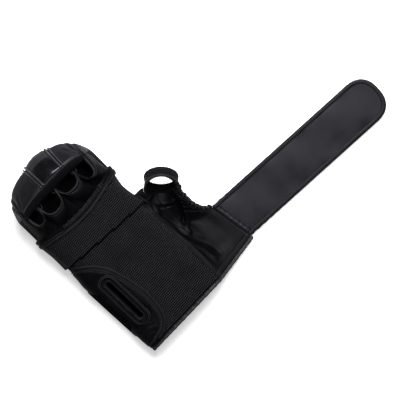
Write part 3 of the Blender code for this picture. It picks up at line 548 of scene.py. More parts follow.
def facing(normals, way):
    """Normals turned so that on the whole they face a direction."""
    return normals * np.sign(np.mean(normals @ np.asarray(way, float)))


def bump(distance, at, width):
    """Round ridge of height 1 at a distance."""
    return np.exp(-((distance - at) / width) ** 2)


def hem(distance, width):
    """1 on a turned hem beside an edge, 0 past it."""
    return 1 - smooth((distance - width) / HEM_STEP + 0.5)


def sewn_edge(distance, edge):
    """Relief of a turned hem beside an edge, and of the groove that its seam pulls in."""
    groove = edge.groove * bump(distance, edge.seam, edge.groove_width)
    return edge.hem * hem(distance, edge.hem_width) - groove


def round_over(distance, radius):
    """1 at an edge and 0 from radius on, along a quarter of a circle."""
    return 1 - np.sqrt(np.clip(1 - (1 - np.clip(distance / radius, 0, 1)) ** 2, 0, 1))


def nearest(points, path):
    """Distance of each point from a path, looking down, and the share of the path there."""
    flat = points[..., :2].reshape(-1, 2)
    best, share = np.full(len(flat), 9.0), np.zeros(len(flat))
    path = np.asarray(path, float)
    steps = len(path) - 1
    for k, (a, b) in enumerate(zip(path[:-1, :2], path[1:, :2])):
        t = np.clip((flat - a) @ (b - a) / max((b - a) @ (b - a), 1e-12), 0, 1)
        gap = np.linalg.norm(flat - a - t[:, None] * (b - a), axis=1)
        closer = gap < best
        best[closer], share[closer] = gap[closer], (k + t[closer]) / steps
    return best.reshape(points.shape[:-1]), share.reshape(points.shape[:-1])


def curve(points_mm):
    """Rounded path through places given in millimetres, looking down."""
    points = np.asarray(points_mm, float) * MM
    length = run_along(points)
    at = np.linspace(0, length[-1], int(length[-1] / MM) + 2)
    return np.stack([through(length, points[:, k], at) for k in range(points.shape[1])], -1)


def folds(points, rows):
    """Height of a set of folds over points, each tapered to its ends."""
    total = np.zeros(points.shape[:-1])
    for fold in rows:
        distance, share = nearest(points, curve(fold.path))
        taper = smooth(share / FOLD_TAPER) * smooth((1 - share) / FOLD_TAPER)
        total += fold.height * MM * bump(distance, 0, fold.width * MM) * taper
    return total


def slow_noise(points, size, seed):
    """Smooth wandering value from -1 to 1 over a surface, from sine waves in fixed directions."""
    random = np.random.default_rng(seed)
    total = np.zeros(points.shape[:-1])
    for _ in range(NOISE_WAVES):
        way = unit(random.normal(size=3)) * 2 * math.pi / (size * random.uniform(0.6, 1.6))
        total += np.sin(points @ way + random.uniform(0, 6.28))
    return total / NOISE_RANGE


def new_piece(name, points, faces, finishes, finish_of=None, uv=None, wear_and_highlight=None):
    """Mesh piece from points and faces, turned so that its faces point outwards."""
    points = np.asarray(points, float)
    volume = 0.0
    for size in {len(f) for f in faces}:
        block = np.array([f for f in faces if len(f) == size])
        for k in range(1, size - 1):
            a, b, c = points[block[:, 0]], points[block[:, k]], points[block[:, k + 1]]
            volume += float(np.einsum("ij,ij->i", a, np.cross(b, c)).sum())
    if volume < 0:
        faces = [tuple(reversed(f)) for f in faces]
    mesh = bpy.data.meshes.new(name)
    mesh.from_pydata(points.tolist(), [], faces)
    mesh.shade_smooth()
    for finish in finishes:
        mesh.materials.append(finish)
    if finish_of is not None:
        mesh.polygons.foreach_set("material_index", np.asarray(finish_of, np.int32))
    corner = np.zeros(len(mesh.loops), np.int32)
    mesh.loops.foreach_get("vertex_index", corner)
    if uv is not None:
        layer = mesh.uv_layers.new(name="Cloth")
        layer.data.foreach_set("uv", np.asarray(uv, np.float32)[corner].ravel())
    # Per-point values that make places lighter in the finishes: partly wear, partly painted highlight.
    if wear_and_highlight is not None:
        worn_and_highlit = mesh.attributes.new("wear_and_highlight", "FLOAT", "POINT")
        worn_and_highlit.data.foreach_set("value", np.asarray(wear_and_highlight, np.float32).ravel())
    mesh.update()
    made = bpy.data.objects.new(name, mesh)
    bpy.context.scene.collection.objects.link(made)
    return made


def quads(rows, columns, start, closed, turned):
    found = []
    for i in range(rows - 1):
        for j in range(columns if closed else columns - 1):
            k = (j + 1) % columns
            a, b = start + i * columns + j, start + i * columns + k
            c, d = b + columns, a + columns
            found.append((a, d, c, b) if turned else (a, b, c, d))
    return found


def cloth_wall(name, outer, inner, finishes, closed=False, wear_and_highlight=None, bulge=0.6):
    """Closed sheet of cloth or leather between two grids of points, with a round edge."""
    rows, columns = outer.shape[:2]
    count = rows * columns
    index = np.arange(count).reshape(rows, columns)
    if closed:
        borders = [(index[0], index[1]), (index[-1][::-1], index[-2][::-1])]
    else:
        ring = np.concatenate([index[0, :-1], index[:-1, -1], index[-1, :0:-1], index[:0:-1, 0]])
        inside = np.pad(index[1:-1, 1:-1], 1, mode="edge")
        within = np.concatenate([inside[0, :-1], inside[:-1, -1], inside[-1, :0:-1], inside[:0:-1, 0]])
        borders = [(ring, within)]
    points = [outer.reshape(-1, 3), inner.reshape(-1, 3)]
    faces = quads(rows, columns, 0, closed, False)
    turned = quads(rows, columns, count, closed, True)
    finish_of = [0] * len(faces) + [len(finishes) - 1] * len(turned)
    faces += turned
    start = 2 * count
    edge_uv, edge_wear_and_highlight = [], []
    uv = cloth_uv(outer)
    worn_and_highlit = np.zeros((rows, columns)) if wear_and_highlight is None else np.broadcast_to(wear_and_highlight, (rows, columns))
    for ring, within in borders:
        high, low = points[0][ring], points[1][ring]
        middle = (high + low) / 2
        out = unit(middle - (points[0][within] + points[1][within]) / 2)
        half = np.linalg.norm(high - low, axis=1, keepdims=True) / 2
        points.append(middle + out * half * bulge)
        size = len(ring)
        for k in range(size):
            n = (k + 1) % size
            faces.append((ring[n], ring[k], start + k, start + n))
            faces.append((start + n, start + k, count + ring[k], count + ring[n]))
            finish_of += [0, len(finishes) - 1]
        edge_uv.append(uv.reshape(-1, 2)[ring])
        edge_wear_and_highlight.append(worn_and_highlit.ravel()[ring])
        start += size
    all_uv = np.concatenate([uv.reshape(-1, 2), uv.reshape(-1, 2), *edge_uv])
    all_wear_and_highlight = np.concatenate([worn_and_highlit.ravel(), 0 * worn_and_highlit.ravel(), *edge_wear_and_highlight])
    faces = [tuple(int(v) for v in f) for f in faces]
    return new_piece(name, np.concatenate(points), faces, finishes, finish_of, all_uv, all_wear_and_highlight)


def cloth_uv(grid):
    """Distances in metres over a grid of points, from its middle column and its first row."""
    across = np.linalg.norm(np.diff(grid, axis=1), axis=-1)
    u = np.concatenate([np.zeros((len(grid), 1)), np.cumsum(across, 1)], 1)
    u = u - u[:, grid.shape[1] // 2, None]
    along = np.linalg.norm(np.diff(grid, axis=0), axis=-1)
    v = np.concatenate([np.zeros((1, grid.shape[1])), np.cumsum(along, 0)], 0)
    return np.stack([u, v], -1)


def tube(name, rings, finish, wear_and_highlight):
    """Closed skin over rings of points, with rounded ends."""
    rounded = []
    for ring, beyond in ((rings[0], rings[0] - rings[1]), (rings[-1], rings[-1] - rings[-2])):
        middle = ring.mean(0)
        out = unit(beyond.mean(0)) * np.linalg.norm(ring - middle, axis=1).mean()
        rounded.append([
            middle + (ring - middle) * math.cos(turn) + out * 0.6 * math.sin(turn)
            for turn in (0.5, 1.0, 1.4)
        ])
    rings = np.concatenate([np.array(rounded[0][::-1]), rings, np.array(rounded[1])])
    rows, columns = rings.shape[:2]
    faces = quads(rows, columns, 0, True, False)
    faces.append(tuple(reversed(range(columns))))
    faces.append(tuple((rows - 1) * columns + j for j in range(columns)))
    wear_and_highlight = np.pad(np.broadcast_to(wear_and_highlight, (rows - 6, columns)), ((3, 3), (0, 0)), mode="edge").ravel()
    return new_piece(name, rings.reshape(-1, 3), faces, [finish], wear_and_highlight=wear_and_highlight)


def rings_along(path, side, shape):
    """Rings of points along a path; shape gives (side, up) offsets, and side is the way of the first."""
    tangent = unit(np.gradient(path, axis=0))
    side = np.broadcast_to(side, path.shape)
    side = unit(side - tangent * np.sum(side * tangent, -1, keepdims=True))
    up = np.cross(tangent, side)
    shape = np.broadcast_to(shape, (len(path), *np.shape(shape)[-2:]))
    return path[:, None] + side[:, None] * shape[..., :1] + up[:, None] * shape[..., 1:]


def soft_box(width, height, sides, squareness):
    """Section of a cord or a folded binding: an oval at squareness 1, boxy below it."""
    turn = np.arange(sides) * 2 * math.pi / sides
    return np.stack([
        width / 2 * power(np.cos(turn), squareness), height / 2 * power(np.sin(turn), squareness)
    ], -1)


def joined(name, parts):
    """One piece from several, with the first one's finishes."""
    points, faces, wear_and_highlight, start = [], [], [], 0
    finishes = list(parts[0].data.materials)
    for part in parts:
        mesh = part.data
        points += [tuple(v.co) for v in mesh.vertices]
        faces += [tuple(v + start for v in p.vertices) for p in mesh.polygons]
        start += len(mesh.vertices)
        worn_and_highlit = mesh.attributes.get("wear_and_highlight")
        wear_and_highlight += [w.value for w in worn_and_highlit.data] if worn_and_highlit else [0.0] * len(mesh.vertices)
        bpy.data.objects.remove(part)
    return new_piece(name, points, faces, finishes, wear_and_highlight=wear_and_highlight)


def declare(piece, slot, *nodes):
    """The piece moves with the glove and stands for its CAD nodes, which it hides; slot is not used."""
    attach(piece, "root")
    if nodes:
        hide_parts(*nodes)
    return piece


# Shader groups and finishes.


def add_node(tree, kind, inputs=None, **settings):
    """Adds a node; each input is a socket to link or a value to set."""
    node = tree.nodes.new(kind)
    for name, value in settings.items():
        setattr(node, name, value)
    for key, value in (inputs or {}).items():
        socket = node.inputs[key]
        if isinstance(value, bpy.types.NodeSocket):
            tree.links.new(value, socket)
        else:
            socket.default_value = value
    return node


def maths(tree, operation, *values):
    return add_node(tree, "ShaderNodeMath", dict(enumerate(values)), operation=operation).outputs[0]


def remap(tree, value, from_low, from_high, to_low=0.0, to_high=1.0):
    return add_node(tree, "ShaderNodeMapRange", {
        "Value": value, "From Min": from_low, "From Max": from_high, "To Min": to_low, "To Max": to_high,
    }, interpolation_type="SMOOTHSTEP").outputs["Result"]


def add_socket(tree, label, way, kind):
    return tree.interface.new_socket(name=label, in_out=way, socket_type="NodeSocket" + kind)


def texture(tree, kind, place, output="Fac", **inputs):
    """Output of a noise or Voronoi texture at a place; its inputs are named as its sockets are."""
    return add_node(tree, "ShaderNodeTex" + kind, {"Vector": place, **inputs}).outputs[output]


def object_place(tree):
    return add_node(tree, "ShaderNodeTexCoord").outputs["Object"]


def shader_group(name, inputs, outputs, fill):
    """Node group with named float inputs and outputs, filled by a function."""
    tree = bpy.data.node_groups.new(name, "ShaderNodeTree")
    for label, value in inputs.items():
        add_socket(tree, label, "INPUT", "Float").default_value = value
    for label in outputs:
        add_socket(tree, label, "OUTPUT", "Float")
    given, result = tree.nodes.new("NodeGroupInput"), tree.nodes.new("NodeGroupOutput")
    for label, socket in zip(outputs, fill(tree, given.outputs)):
        tree.links.new(socket, result.inputs[label])
    return tree


def fill_leather_grain(tree, given):
    """Fine pebbles with creases between them, over slow unevenness."""
    place = object_place(tree)
    drift = texture(tree, "Noise", place, "Color", Scale=260.0, Detail=2.0)
    shifted = add_node(tree, "ShaderNodeVectorMath", {0: drift, 3: 0.0016}, operation="SCALE").outputs[0]
    moved = add_node(tree, "ShaderNodeVectorMath", {0: place, 1: shifted}, operation="ADD").outputs[0]
    pebble = texture(tree, "Voronoi", moved, "Distance", Scale=given["Grain"])
    fine = texture(tree, "Noise", place, Scale=4200.0, Detail=3.0)
    slow = texture(tree, "Noise", place, Scale=55.0, Detail=4.0)
    crease = remap(tree, pebble, 0.25, 0.75, 1.0, 0.0)
    height = maths(tree, "ADD", crease, maths(tree, "MULTIPLY", fine, 0.35))
    return height, remap(tree, slow, 0.30, 0.70), crease


def fill_handling_and_highlight(tree, given):
    """Places made lighter where the pieces mark them, partly rubbed wear and partly painted highlight on
    rims, hems and crests, and fine dust caught in the surface.
    """
    place = object_place(tree)
    wear_and_highlight = add_node(tree, "ShaderNodeAttribute", attribute_name="wear_and_highlight").outputs["Fac"]
    patchy = texture(tree, "Noise", place, Scale=420.0, Detail=5.0)
    worn_and_highlit = maths(tree, "MULTIPLY", wear_and_highlight, remap(tree, patchy, 0.25, 0.65, 0.45, 1.0))
    specks = texture(tree, "Voronoi", place, "Distance", Scale=330.0)
    dust = maths(tree, "MULTIPLY", remap(tree, specks, 0.05, 0.12, 1.0, 0.0), given["Dust"])
    return worn_and_highlit, dust


def fill_knit(tree, given):
    """Staggered cells of a spacer mesh over the piece's own cloth map."""
    place = add_node(tree, "ShaderNodeUVMap", uv_map="Cloth").outputs["UV"]
    parts = add_node(tree, "ShaderNodeSeparateXYZ", {0: place})
    tau = 2 * math.pi
    u = maths(tree, "MULTIPLY", parts.outputs[0], maths(tree, "DIVIDE", tau, given["Across"]))
    v = maths(tree, "MULTIPLY", parts.outputs[1], maths(tree, "DIVIDE", tau / 2, given["Along"]))
    cells = maths(tree, "MULTIPLY", maths(tree, "SINE", u), maths(tree, "SINE", v))
    hole = remap(tree, maths(tree, "ABSOLUTE", cells), 0.25, 0.75)
    fuzz = texture(tree, "Noise", object_place(tree), Scale=3500.0, Detail=2.0)
    height = maths(tree, "ADD", maths(tree, "MULTIPLY", hole, -1.0), maths(tree, "MULTIPLY", fuzz, 0.5))
    return height, hole


def fill_thread(tree, given):
    """Fibres of yarn and tape."""
    place = object_place(tree)
    twist = add_node(tree, "ShaderNodeTexWave", {
        "Vector": place, "Scale": given["Fibres"], "Distortion": 3.0, "Detail": 2.0, "Detail Scale": 2.0,
    }, bands_direction="DIAGONAL").outputs["Fac"]
    fuzz = texture(tree, "Noise", place, Scale=5200.0, Detail=3.0)
    return maths(tree, "ADD", twist, fuzz), remap(tree, fuzz, 0.3, 0.7)


LEATHER_GRAIN = shader_group(
    "Leather grain", {"Grain": 1500.0}, ("Height", "Shade", "Crease"), fill_leather_grain)
HANDLING_AND_HIGHLIGHT = shader_group("Handling wear and painted highlight", {"Dust": 0.3}, ("Worn and highlight", "Dust"), fill_handling_and_highlight)
KNIT_CELLS = shader_group("Knit cells", {"Across": 0.002, "Along": 0.0016}, ("Height", "Hole"), fill_knit)
THREAD_FIBRES = shader_group("Thread fibres", {"Fibres": 900.0}, ("Height", "Shade"), fill_thread)

# The studio's light is slightly cool in the leather's shine.
COOL_SHINE = (0.88, 0.89, 1.0, 1.0)
DUST_GREY = (0.02, 0.02, 0.02)


def blend(tree, factor, low, high):
    """Colour between two, by a mask."""
    node = add_node(tree, "ShaderNodeMix", data_type="RGBA")
    for key, value in (("Factor_Float", factor), ("A_Color", low), ("B_Color", high)):
        socket = next(s for s in node.inputs if s.identifier == key)
        if isinstance(value, bpy.types.NodeSocket):
            tree.links.new(value, socket)
        else:
            socket.default_value = value if key == "Factor_Float" else (*value, 1.0)
    return next(s for s in node.outputs if s.identifier == "Result_Color")


def new_finish(name, specular, sheen=0.0, coat=0.0):
    """Material with its node tree and its Principled shader."""
    made = bpy.data.materials.new(name)
    made.use_nodes = True
    shader = made.node_tree.nodes["Principled BSDF"]
    for label, value in (
        ("Specular IOR Level", specular), ("Specular Tint", COOL_SHINE), ("Sheen Weight", sheen),
        ("Sheen Roughness", 0.4), ("Coat Weight", coat), ("Coat Roughness", 0.1),
    ):
        shader.inputs[label].default_value = value
    return made, made.node_tree, shader


def dress(tree, shader, colour, roughness, height, relief):
    """Links a finish's colour, roughness and bump to its shader; relief is the bump's depth in metres."""
    tree.links.new(colour, shader.inputs["Base Color"])
    tree.links.new(roughness, shader.inputs["Roughness"])
    bumped = add_node(tree, "ShaderNodeBump", {"Height": height, "Distance": relief, "Strength": 1.0})
    tree.links.new(bumped.outputs["Normal"], shader.inputs["Normal"])


def use_group(tree, group, **values):
    node = tree.nodes.new("ShaderNodeGroup")
    node.node_tree = group
    for label, value in values.items():
        node.inputs[label].default_value = value
    return node.outputs


def leather_finish(name, dark, light, worn_and_highlit, roughness, grain, relief, specular, coat=0.0):
    """Coated leather: two tones that drift, lighter edges and crests that are partly rubbed wear and partly
    painted highlight, grain and dust.
    """
    made, tree, shader = new_finish(name, specular, coat=coat)
    surface = use_group(tree, LEATHER_GRAIN, Grain=grain)
    use = use_group(tree, HANDLING_AND_HIGHLIGHT, Dust=0.25)
    colour = blend(tree, surface["Shade"], dark, light)
    # Lighter where the pieces mark it: partly rubbed wear, partly painted highlight.
    colour = blend(tree, use["Worn and highlight"], colour, worn_and_highlit)
    colour = blend(tree, use["Dust"], colour, tuple(1.5 * c for c in worn_and_highlit))
    rough = remap(tree, surface["Shade"], 0.0, 1.0, roughness - 0.05, roughness + 0.06)
    rough = maths(tree, "SUBTRACT", rough, maths(tree, "MULTIPLY", use["Worn and highlight"], 0.06))
    rough = maths(tree, "ADD", rough, maths(tree, "MULTIPLY", surface["Crease"], 0.05))
    dress(tree, shader, colour, rough, surface["Height"], relief)
    return made


def knit_finish(name, dark, light, across, along, relief):
    """Cloth of staggered cells, painted darker in their holes as shade; across and along are a cell's size.
    """
    made, tree, shader = new_finish(name, 0.06, sheen=0.03)
    cells = use_group(tree, KNIT_CELLS, Across=across, Along=along)
    use = use_group(tree, HANDLING_AND_HIGHLIGHT, Dust=0.2)
    # Darker in the knit's holes: painted shade.
    colour = blend(tree, cells["Hole"], light, dark)
    colour = blend(tree, use["Dust"], colour, DUST_GREY)
    dress(tree, shader, colour, remap(tree, cells["Hole"], 0, 1, 0.70, 0.95), cells["Height"], relief)
    return made


def yarn_finish(name, dark, light, roughness, specular, sheen=0.05, fibres=900.0):
    """Thread, tape or pile, lighter where it is worn and where a highlight is painted on it."""
    made, tree, shader = new_finish(name, specular, sheen=sheen)
    fibre = use_group(tree, THREAD_FIBRES, Fibres=fibres)
    use = use_group(tree, HANDLING_AND_HIGHLIGHT, Dust=0.15)
    colour = blend(tree, fibre["Shade"], dark, light)
    # Lighter where the pieces mark it: partly wear, partly painted highlight.
    colour = blend(tree, use["Worn and highlight"], colour, tuple(3.6 * c for c in light))
    rough = remap(tree, fibre["Shade"], 0, 1, roughness + 0.08, roughness - 0.06)
    dress(tree, shader, colour, rough, fibre["Height"], 0.00008)
    return made


GUARD_LEATHER = leather_finish(
    "guard_leather", dark=(0.0030, 0.0030, 0.0036), light=(0.0050, 0.0050, 0.0060),
    worn_and_highlit=(0.026, 0.026, 0.030), roughness=0.38, grain=1700.0, relief=0.00003, specular=0.22)
PALM_LEATHER = leather_finish(
    "palm_leather", dark=(0.0008, 0.0008, 0.0010), light=(0.0018, 0.0018, 0.0021),
    worn_and_highlit=(0.020, 0.020, 0.023), roughness=0.42, grain=1500.0, relief=0.00004, specular=0.05)
STRAP_LEATHER = leather_finish(
    "strap_leather_grained", dark=(0.0056, 0.0056, 0.0072), light=(0.0084, 0.0084, 0.0108),
    worn_and_highlit=(0.026, 0.026, 0.030), roughness=0.42, grain=1400.0, relief=0.00004, specular=0.12)
BINDING_LEATHER = leather_finish(
    "binding_leather", dark=(0.0022, 0.0022, 0.0027), light=(0.0044, 0.0044, 0.0052),
    worn_and_highlit=(0.036, 0.036, 0.042), roughness=0.38, grain=2100.0, relief=0.00003, specular=0.12)
PIPING_VINYL = leather_finish(
    "piping_vinyl", dark=(0.0020, 0.0020, 0.0024), light=(0.0034, 0.0034, 0.0040),
    worn_and_highlit=(0.030, 0.030, 0.034), roughness=0.22, grain=1200.0, relief=0.00002, specular=0.6, coat=0.3)
PATENT = leather_finish(
    "patent_panel", dark=(0.0007, 0.0007, 0.0008), light=(0.0012, 0.0012, 0.0014),
    worn_and_highlit=(0.005, 0.005, 0.006), roughness=0.20, grain=900.0, relief=0.00001, specular=0.3, coat=0.35)
# The mesh's backing cloth is painted far darker than the yarn standing on it: painted shade between the
# yarns.
PALM_MESH = knit_finish(
    "palm_mesh", dark=(0.0002, 0.0002, 0.0002), light=(0.0005, 0.0005, 0.0006),
    across=0.0025, along=0.0050, relief=0.0004)
HOOK_TAPE = knit_finish(
    "hook_tape_face", dark=(0.002, 0.002, 0.002), light=(0.012, 0.012, 0.012),
    across=0.0012, along=0.0018, relief=0.0006)
MESH_YARN = yarn_finish(
    "palm_mesh_yarn", dark=(0.012, 0.012, 0.014), light=(0.034, 0.035, 0.040),
    roughness=0.50, specular=0.15)
RIB_LINING = yarn_finish(
    "ribbed_lining", dark=(0.0008, 0.0008, 0.0009), light=(0.0030, 0.0031, 0.0034),
    roughness=0.75, specular=0.05, sheen=0.0, fibres=1400.0)
TAPE = yarn_finish(
    "gathered_tape", dark=(0.0009, 0.0009, 0.0010), light=(0.0042, 0.0042, 0.0048),
    roughness=0.45, specular=0.12)
SEWING_THREAD = yarn_finish(
    "sewing_thread", dark=(0.012, 0.012, 0.014), light=(0.040, 0.040, 0.047),
    roughness=0.45, specular=0.2, fibres=2500.0)
LOOP_PILE = yarn_finish(
    "loop_pile_tufts", dark=(0.0006, 0.0006, 0.0007), light=(0.0026, 0.0026, 0.0028),
    roughness=0.95, specular=0.03, sheen=0.0)


# Sewn details: bars set by Geometry Nodes on points that carry a direction along and a direction out.

Bar = namedtuple("Bar", "length width height")
STITCH_BAR = Bar(length=0.0021, width=0.00065, height=0.0006)
YARN_BAR = Bar(length=0.0023, width=0.00112, height=0.0011)
FIBRE_BAR = Bar(length=0.0013, width=0.0004, height=0.0003)
STITCH_PITCH = 0.0026

def sowing_tree(name):
    """Geometry Nodes tree that sets one small rounded bar on each point."""
    tree = bpy.data.node_groups.new(name, "GeometryNodeTree")
    add_socket(tree, "Points", "INPUT", "Geometry")
    for label in ("Length", "Width", "Height"):
        add_socket(tree, label, "INPUT", "Float").default_value = MM
    add_socket(tree, "Finish", "INPUT", "Material")
    add_socket(tree, "Geometry", "OUTPUT", "Geometry")
    given, result = tree.nodes.new("NodeGroupInput"), tree.nodes.new("NodeGroupOutput")
    ball = add_node(tree, "GeometryNodeMeshUVSphere", {"Segments": 6, "Rings": 4, "Radius": 0.5})
    along, out = (
        add_node(tree, "GeometryNodeInputNamedAttribute", {"Name": label}, data_type="FLOAT_VECTOR")
        for label in ("along", "out"))
    turned = add_node(tree, "FunctionNodeAxesToRotation", {
        "Primary Axis": along.outputs[0], "Secondary Axis": out.outputs[0],
    }, primary_axis="X", secondary_axis="Z")
    size = add_node(tree, "ShaderNodeCombineXYZ", {
        0: given.outputs["Length"], 1: given.outputs["Width"], 2: given.outputs["Height"],
    })
    bars = add_node(tree, "GeometryNodeInstanceOnPoints", {
        "Points": given.outputs["Points"], "Instance": ball.outputs["Mesh"],
        "Rotation": turned.outputs["Rotation"], "Scale": size.outputs[0],
    })
    real = add_node(tree, "GeometryNodeRealizeInstances", {"Geometry": bars.outputs[0]})
    smoothed = add_node(tree, "GeometryNodeSetShadeSmooth", {"Geometry": real.outputs[0]})
    finished = add_node(tree, "GeometryNodeSetMaterial", {
        "Geometry": smoothed.outputs[0], "Material": given.outputs["Finish"],
    })
    tree.links.new(finished.outputs[0], result.inputs[0])
    return tree


SOWN_BARS = sowing_tree("Sown bars")


def sow(name, places, along, out, bar, finish, slot):
    """Piece made of one bar at each place."""
    places = np.asarray(places, float)
    mesh = bpy.data.meshes.new(name + "_places")
    mesh.from_pydata(places.tolist(), [], [])
    for label, vectors in (("along", along), ("out", out)):
        layer = mesh.attributes.new(label, "FLOAT_VECTOR", "POINT")
        layer.data.foreach_set("vector", np.asarray(vectors, np.float32).ravel())
    holder = bpy.data.objects.new(name + "_places", mesh)
    bpy.context.scene.collection.objects.link(holder)
    sown = holder.modifiers.new("bars", "NODES")
    sown.node_group = SOWN_BARS
    values = {"Length": bar.length, "Width": bar.width, "Height": bar.height, "Finish": finish}
    for item in SOWN_BARS.interface.items_tree:
        if item.in_out == "INPUT" and item.name in values:
            sown[item.identifier] = values[item.name]
    graph = bpy.context.evaluated_depsgraph_get()
    made = bpy.data.objects.new(name, bpy.data.meshes.new_from_object(holder.evaluated_get(graph)))
    bpy.data.objects.remove(holder)
    bpy.context.scene.collection.objects.link(made)
    declare(made, slot)


SEAMS = defaultdict(list)


def stitch(group, path, out, pitch=STITCH_PITCH, closed=False):
    """Adds a row of stitches along a path on a surface; out is the way off the surface."""
    path = np.asarray(path, float)
    out = np.broadcast_to(out, path.shape)
    if closed:
        path, out = np.concatenate([path, path[:1]]), np.concatenate([out, out[:1]])
    length = run_along(path)
    count = max(int(length[-1] / pitch), 2)
    at = (np.arange(count) + 0.5) * length[-1] / count
    tangent = unit(sample(at + 0.0005, length, path) - sample(at - 0.0005, length, path))
    SEAMS[group].append((sample(at, length, path), tangent, unit(sample(at, length, out))))


def sew_all():
    """One piece for each group of stitches."""
    for group, rows in SEAMS.items():
        place, along, out = (np.concatenate([row[k] for row in rows]) for k in range(3))
        sow("stitches_" + group, place, along, out, STITCH_BAR, SEWING_THREAD, "binding")


# Pieces.


# Tucks at the guard's corners: place across on its end, reach in stations, depth and swell beside it in mm.
Tuck = namedtuple("Tuck", "across reach depth swell")
TUCKS = (
    Tuck(across=0.56, reach=2.6, depth=1.4, swell=0.7),
    Tuck(across=0.72, reach=4.0, depth=3.0, swell=1.3),
    Tuck(across=0.84, reach=4.8, depth=3.4, swell=1.5),
    Tuck(across=0.95, reach=3.4, depth=2.0, swell=0.8),
)
TUCK_FOOT = 0.93
KNUCKLE_STATIONS = (5.15, 5.75)


def guard_ends(rows, columns, size):
    """Faces that close the padding's two ends, each between its outer and its inner face."""
    faces = []
    for start, turned in ((0, False), ((rows - 1) * columns, True)):
        for j in range(size - 1):
            low = (start + j, start + (columns - j) % columns, start + columns - j - 1, start + j + 1)
            if j == size - 2:
                low = (start + j, start + columns - j, start + j + 1)
            elif j == 0:
                low = (start, start + columns - 1, start + 1)
            faces.append(low[::-1] if turned else low)
    return faces


def make_guard():
    """Padding in its leather skin, with tucks at the guard's corners."""
    flat = np.linspace(-PAD_FLAT_SHARE, PAD_FLAT_SHARE, 66)
    turn = np.linspace(0, math.pi / 2, 26)[1:]
    side = PAD_FLAT_SHARE + (1 - PAD_FLAT_SHARE) * np.sin(turn) ** (2 / PAD_ROUNDING)
    skin = 0.5 - 0.5 * np.cos(turn) ** (2 / PAD_ROUNDING)
    across = np.concatenate([-side[::-1], flat, side])
    depth = np.concatenate([skin[::-1], 0 * flat, skin])
    station = even_stations(0.0, LAST_STATION, 0.0016)
    from_wrist = run_along(pad_point(station, 0.0, 0.0))
    s, a = station[:, None], np.concatenate([across, across[-2:0:-1]])[None, :]
    skin_depth = np.concatenate([depth, 1 - depth[-2:0:-1]])[None, :]
    deep = 0.5 + (skin_depth - 0.5) * (1 - 0.8 * round_over(from_wrist, 0.007)[:, None])
    ridge = round_over(from_wrist[-1] - from_wrist, 0.003)[:, None]
    deep = deep + 0.13 * ridge * (skin_depth < 0.45)
    points = pad_point(s, a, deep)

    dent = np.zeros(points.shape[:2])
    for way in (-1, 1):
        for tuck in TUCKS:
            grow = smooth((s - (LAST_STATION - tuck.reach)) / tuck.reach * 1.5)
            spread = np.clip((LAST_STATION - s) / tuck.reach, 0, 1.2) ** 0.8
            gap = (a - way * (TUCK_FOOT + (tuck.across - TUCK_FOOT) * spread)) * PAD_WIDTH / 2
            dent -= tuck.depth * MM * grow * bump(gap, 0, 0.0015)
            dent += tuck.swell * MM * grow * bump(gap, way * 0.0035, 0.0022)
    knuckle = bump(s, KNUCKLE_STATIONS[0], 0.10) + 0.7 * bump(s, KNUCKLE_STATIONS[1], 0.10)
    dent -= 1.1 * MM * knuckle * np.cos(np.clip(np.abs(a), 0, 1) * math.pi / 2) ** 0.3
    dent += 0.25 * MM * slow_noise(points, 0.030, 5) * curl_share(s)
    dent = dent * smooth((0.5 - skin_depth) / 0.30)
    points = points - pad_inward(s, a, 0.0) * dent[..., None]
    points[..., 0] -= np.sign(a) * 0.0007 * bump(skin_depth, 0.5, 0.05)

    rows, columns = points.shape[:2]
    faces = quads(rows, columns, 0, True, False) + guard_ends(rows, columns, len(across))
    # Painted lighter along the ridge at the guard's end: partly rubbed wear, partly painted highlight.
    wear_and_highlight = 0.8 * ridge * np.ones_like(a)
    piece = new_piece("guard_padding", points.reshape(-1, 3), faces, [GUARD_LEATHER], wear_and_highlight=wear_and_highlight.ravel())
    declare(piece, "leather", "back_pad")


RIB_PITCH = 0.0027
RIB_HEIGHT = 0.0012
# Rows that carry the lining from the guard's ridge over its end, then its first rows inside.
LINING_END_DEPTHS = (0.10, 0.25, 0.42, 0.60, 0.80)
LINING_INWARD = (0, 0, 0.02, 0.08, 0.25, 0.5, 0.8)


def make_lining():
    """Ribbed cloth on the guard's end and down its inside to the wrist."""
    ends = len(LINING_END_DEPTHS)
    ribs_in = int(LINING_SHARE * PAD_WIDTH / RIB_PITCH)
    across = np.linspace(-LINING_SHARE, LINING_SHARE, ribs_in * 6 + 1)
    station = even_stations(0.0, LAST_STATION, 0.0028, 0.0, 1.0)[::-1]
    station = np.concatenate([[LAST_STATION] * ends, station])
    depth = np.ones((len(station), len(across))) * (1 - pad_skin(across))
    depth[:ends] = np.array(LINING_END_DEPTHS)[:, None]
    corner = (np.abs(across) / LINING_SHARE)[None, :] ** 5
    depth[:ends] = np.minimum(depth[:ends] + 0.30 * corner * (1 - depth[:ends]), depth[ends])
    base = pad_point(station[:, None], across[None, :], depth)
    inward = pad_inward(station[:, None], across[None, :], 1.0)
    end = np.stack([0 * inward[..., 0], inward[..., 2], -inward[..., 1]], -1)
    share = np.concatenate([LINING_INWARD, np.ones(len(station) - len(LINING_INWARD))])[:, None, None]
    out = unit(end * (1 - share) + inward * share)
    ribs = np.abs(np.sin(math.pi * across * PAD_WIDTH / 2 / RIB_PITCH))[None, :]
    swell = 0.0012 * bump(np.arange(len(station)), 3.5, 2.0)[:, None]
    high = 2 * CLEARANCE + LINING_WALL + RIB_HEIGHT * ribs + swell
    # Rib crests painted lighter: painted highlight.
    piece = cloth_wall(
        "guard_lining", base + out * high[..., None], base + out * 2 * CLEARANCE, [RIB_LINING],
        wear_and_highlight=0.55 * ribs ** 3)
    declare(piece, "lining", "pad_lining")
    stitch("guard", base[0] + out[0] * 0.0007 - (base[1] - base[0]) * 0.35, out[0], 0.0027)


KNUCKLE_PANEL_SIDES = (-0.10, 0.38)
KNUCKLE_PANEL_FOOT = 6.2


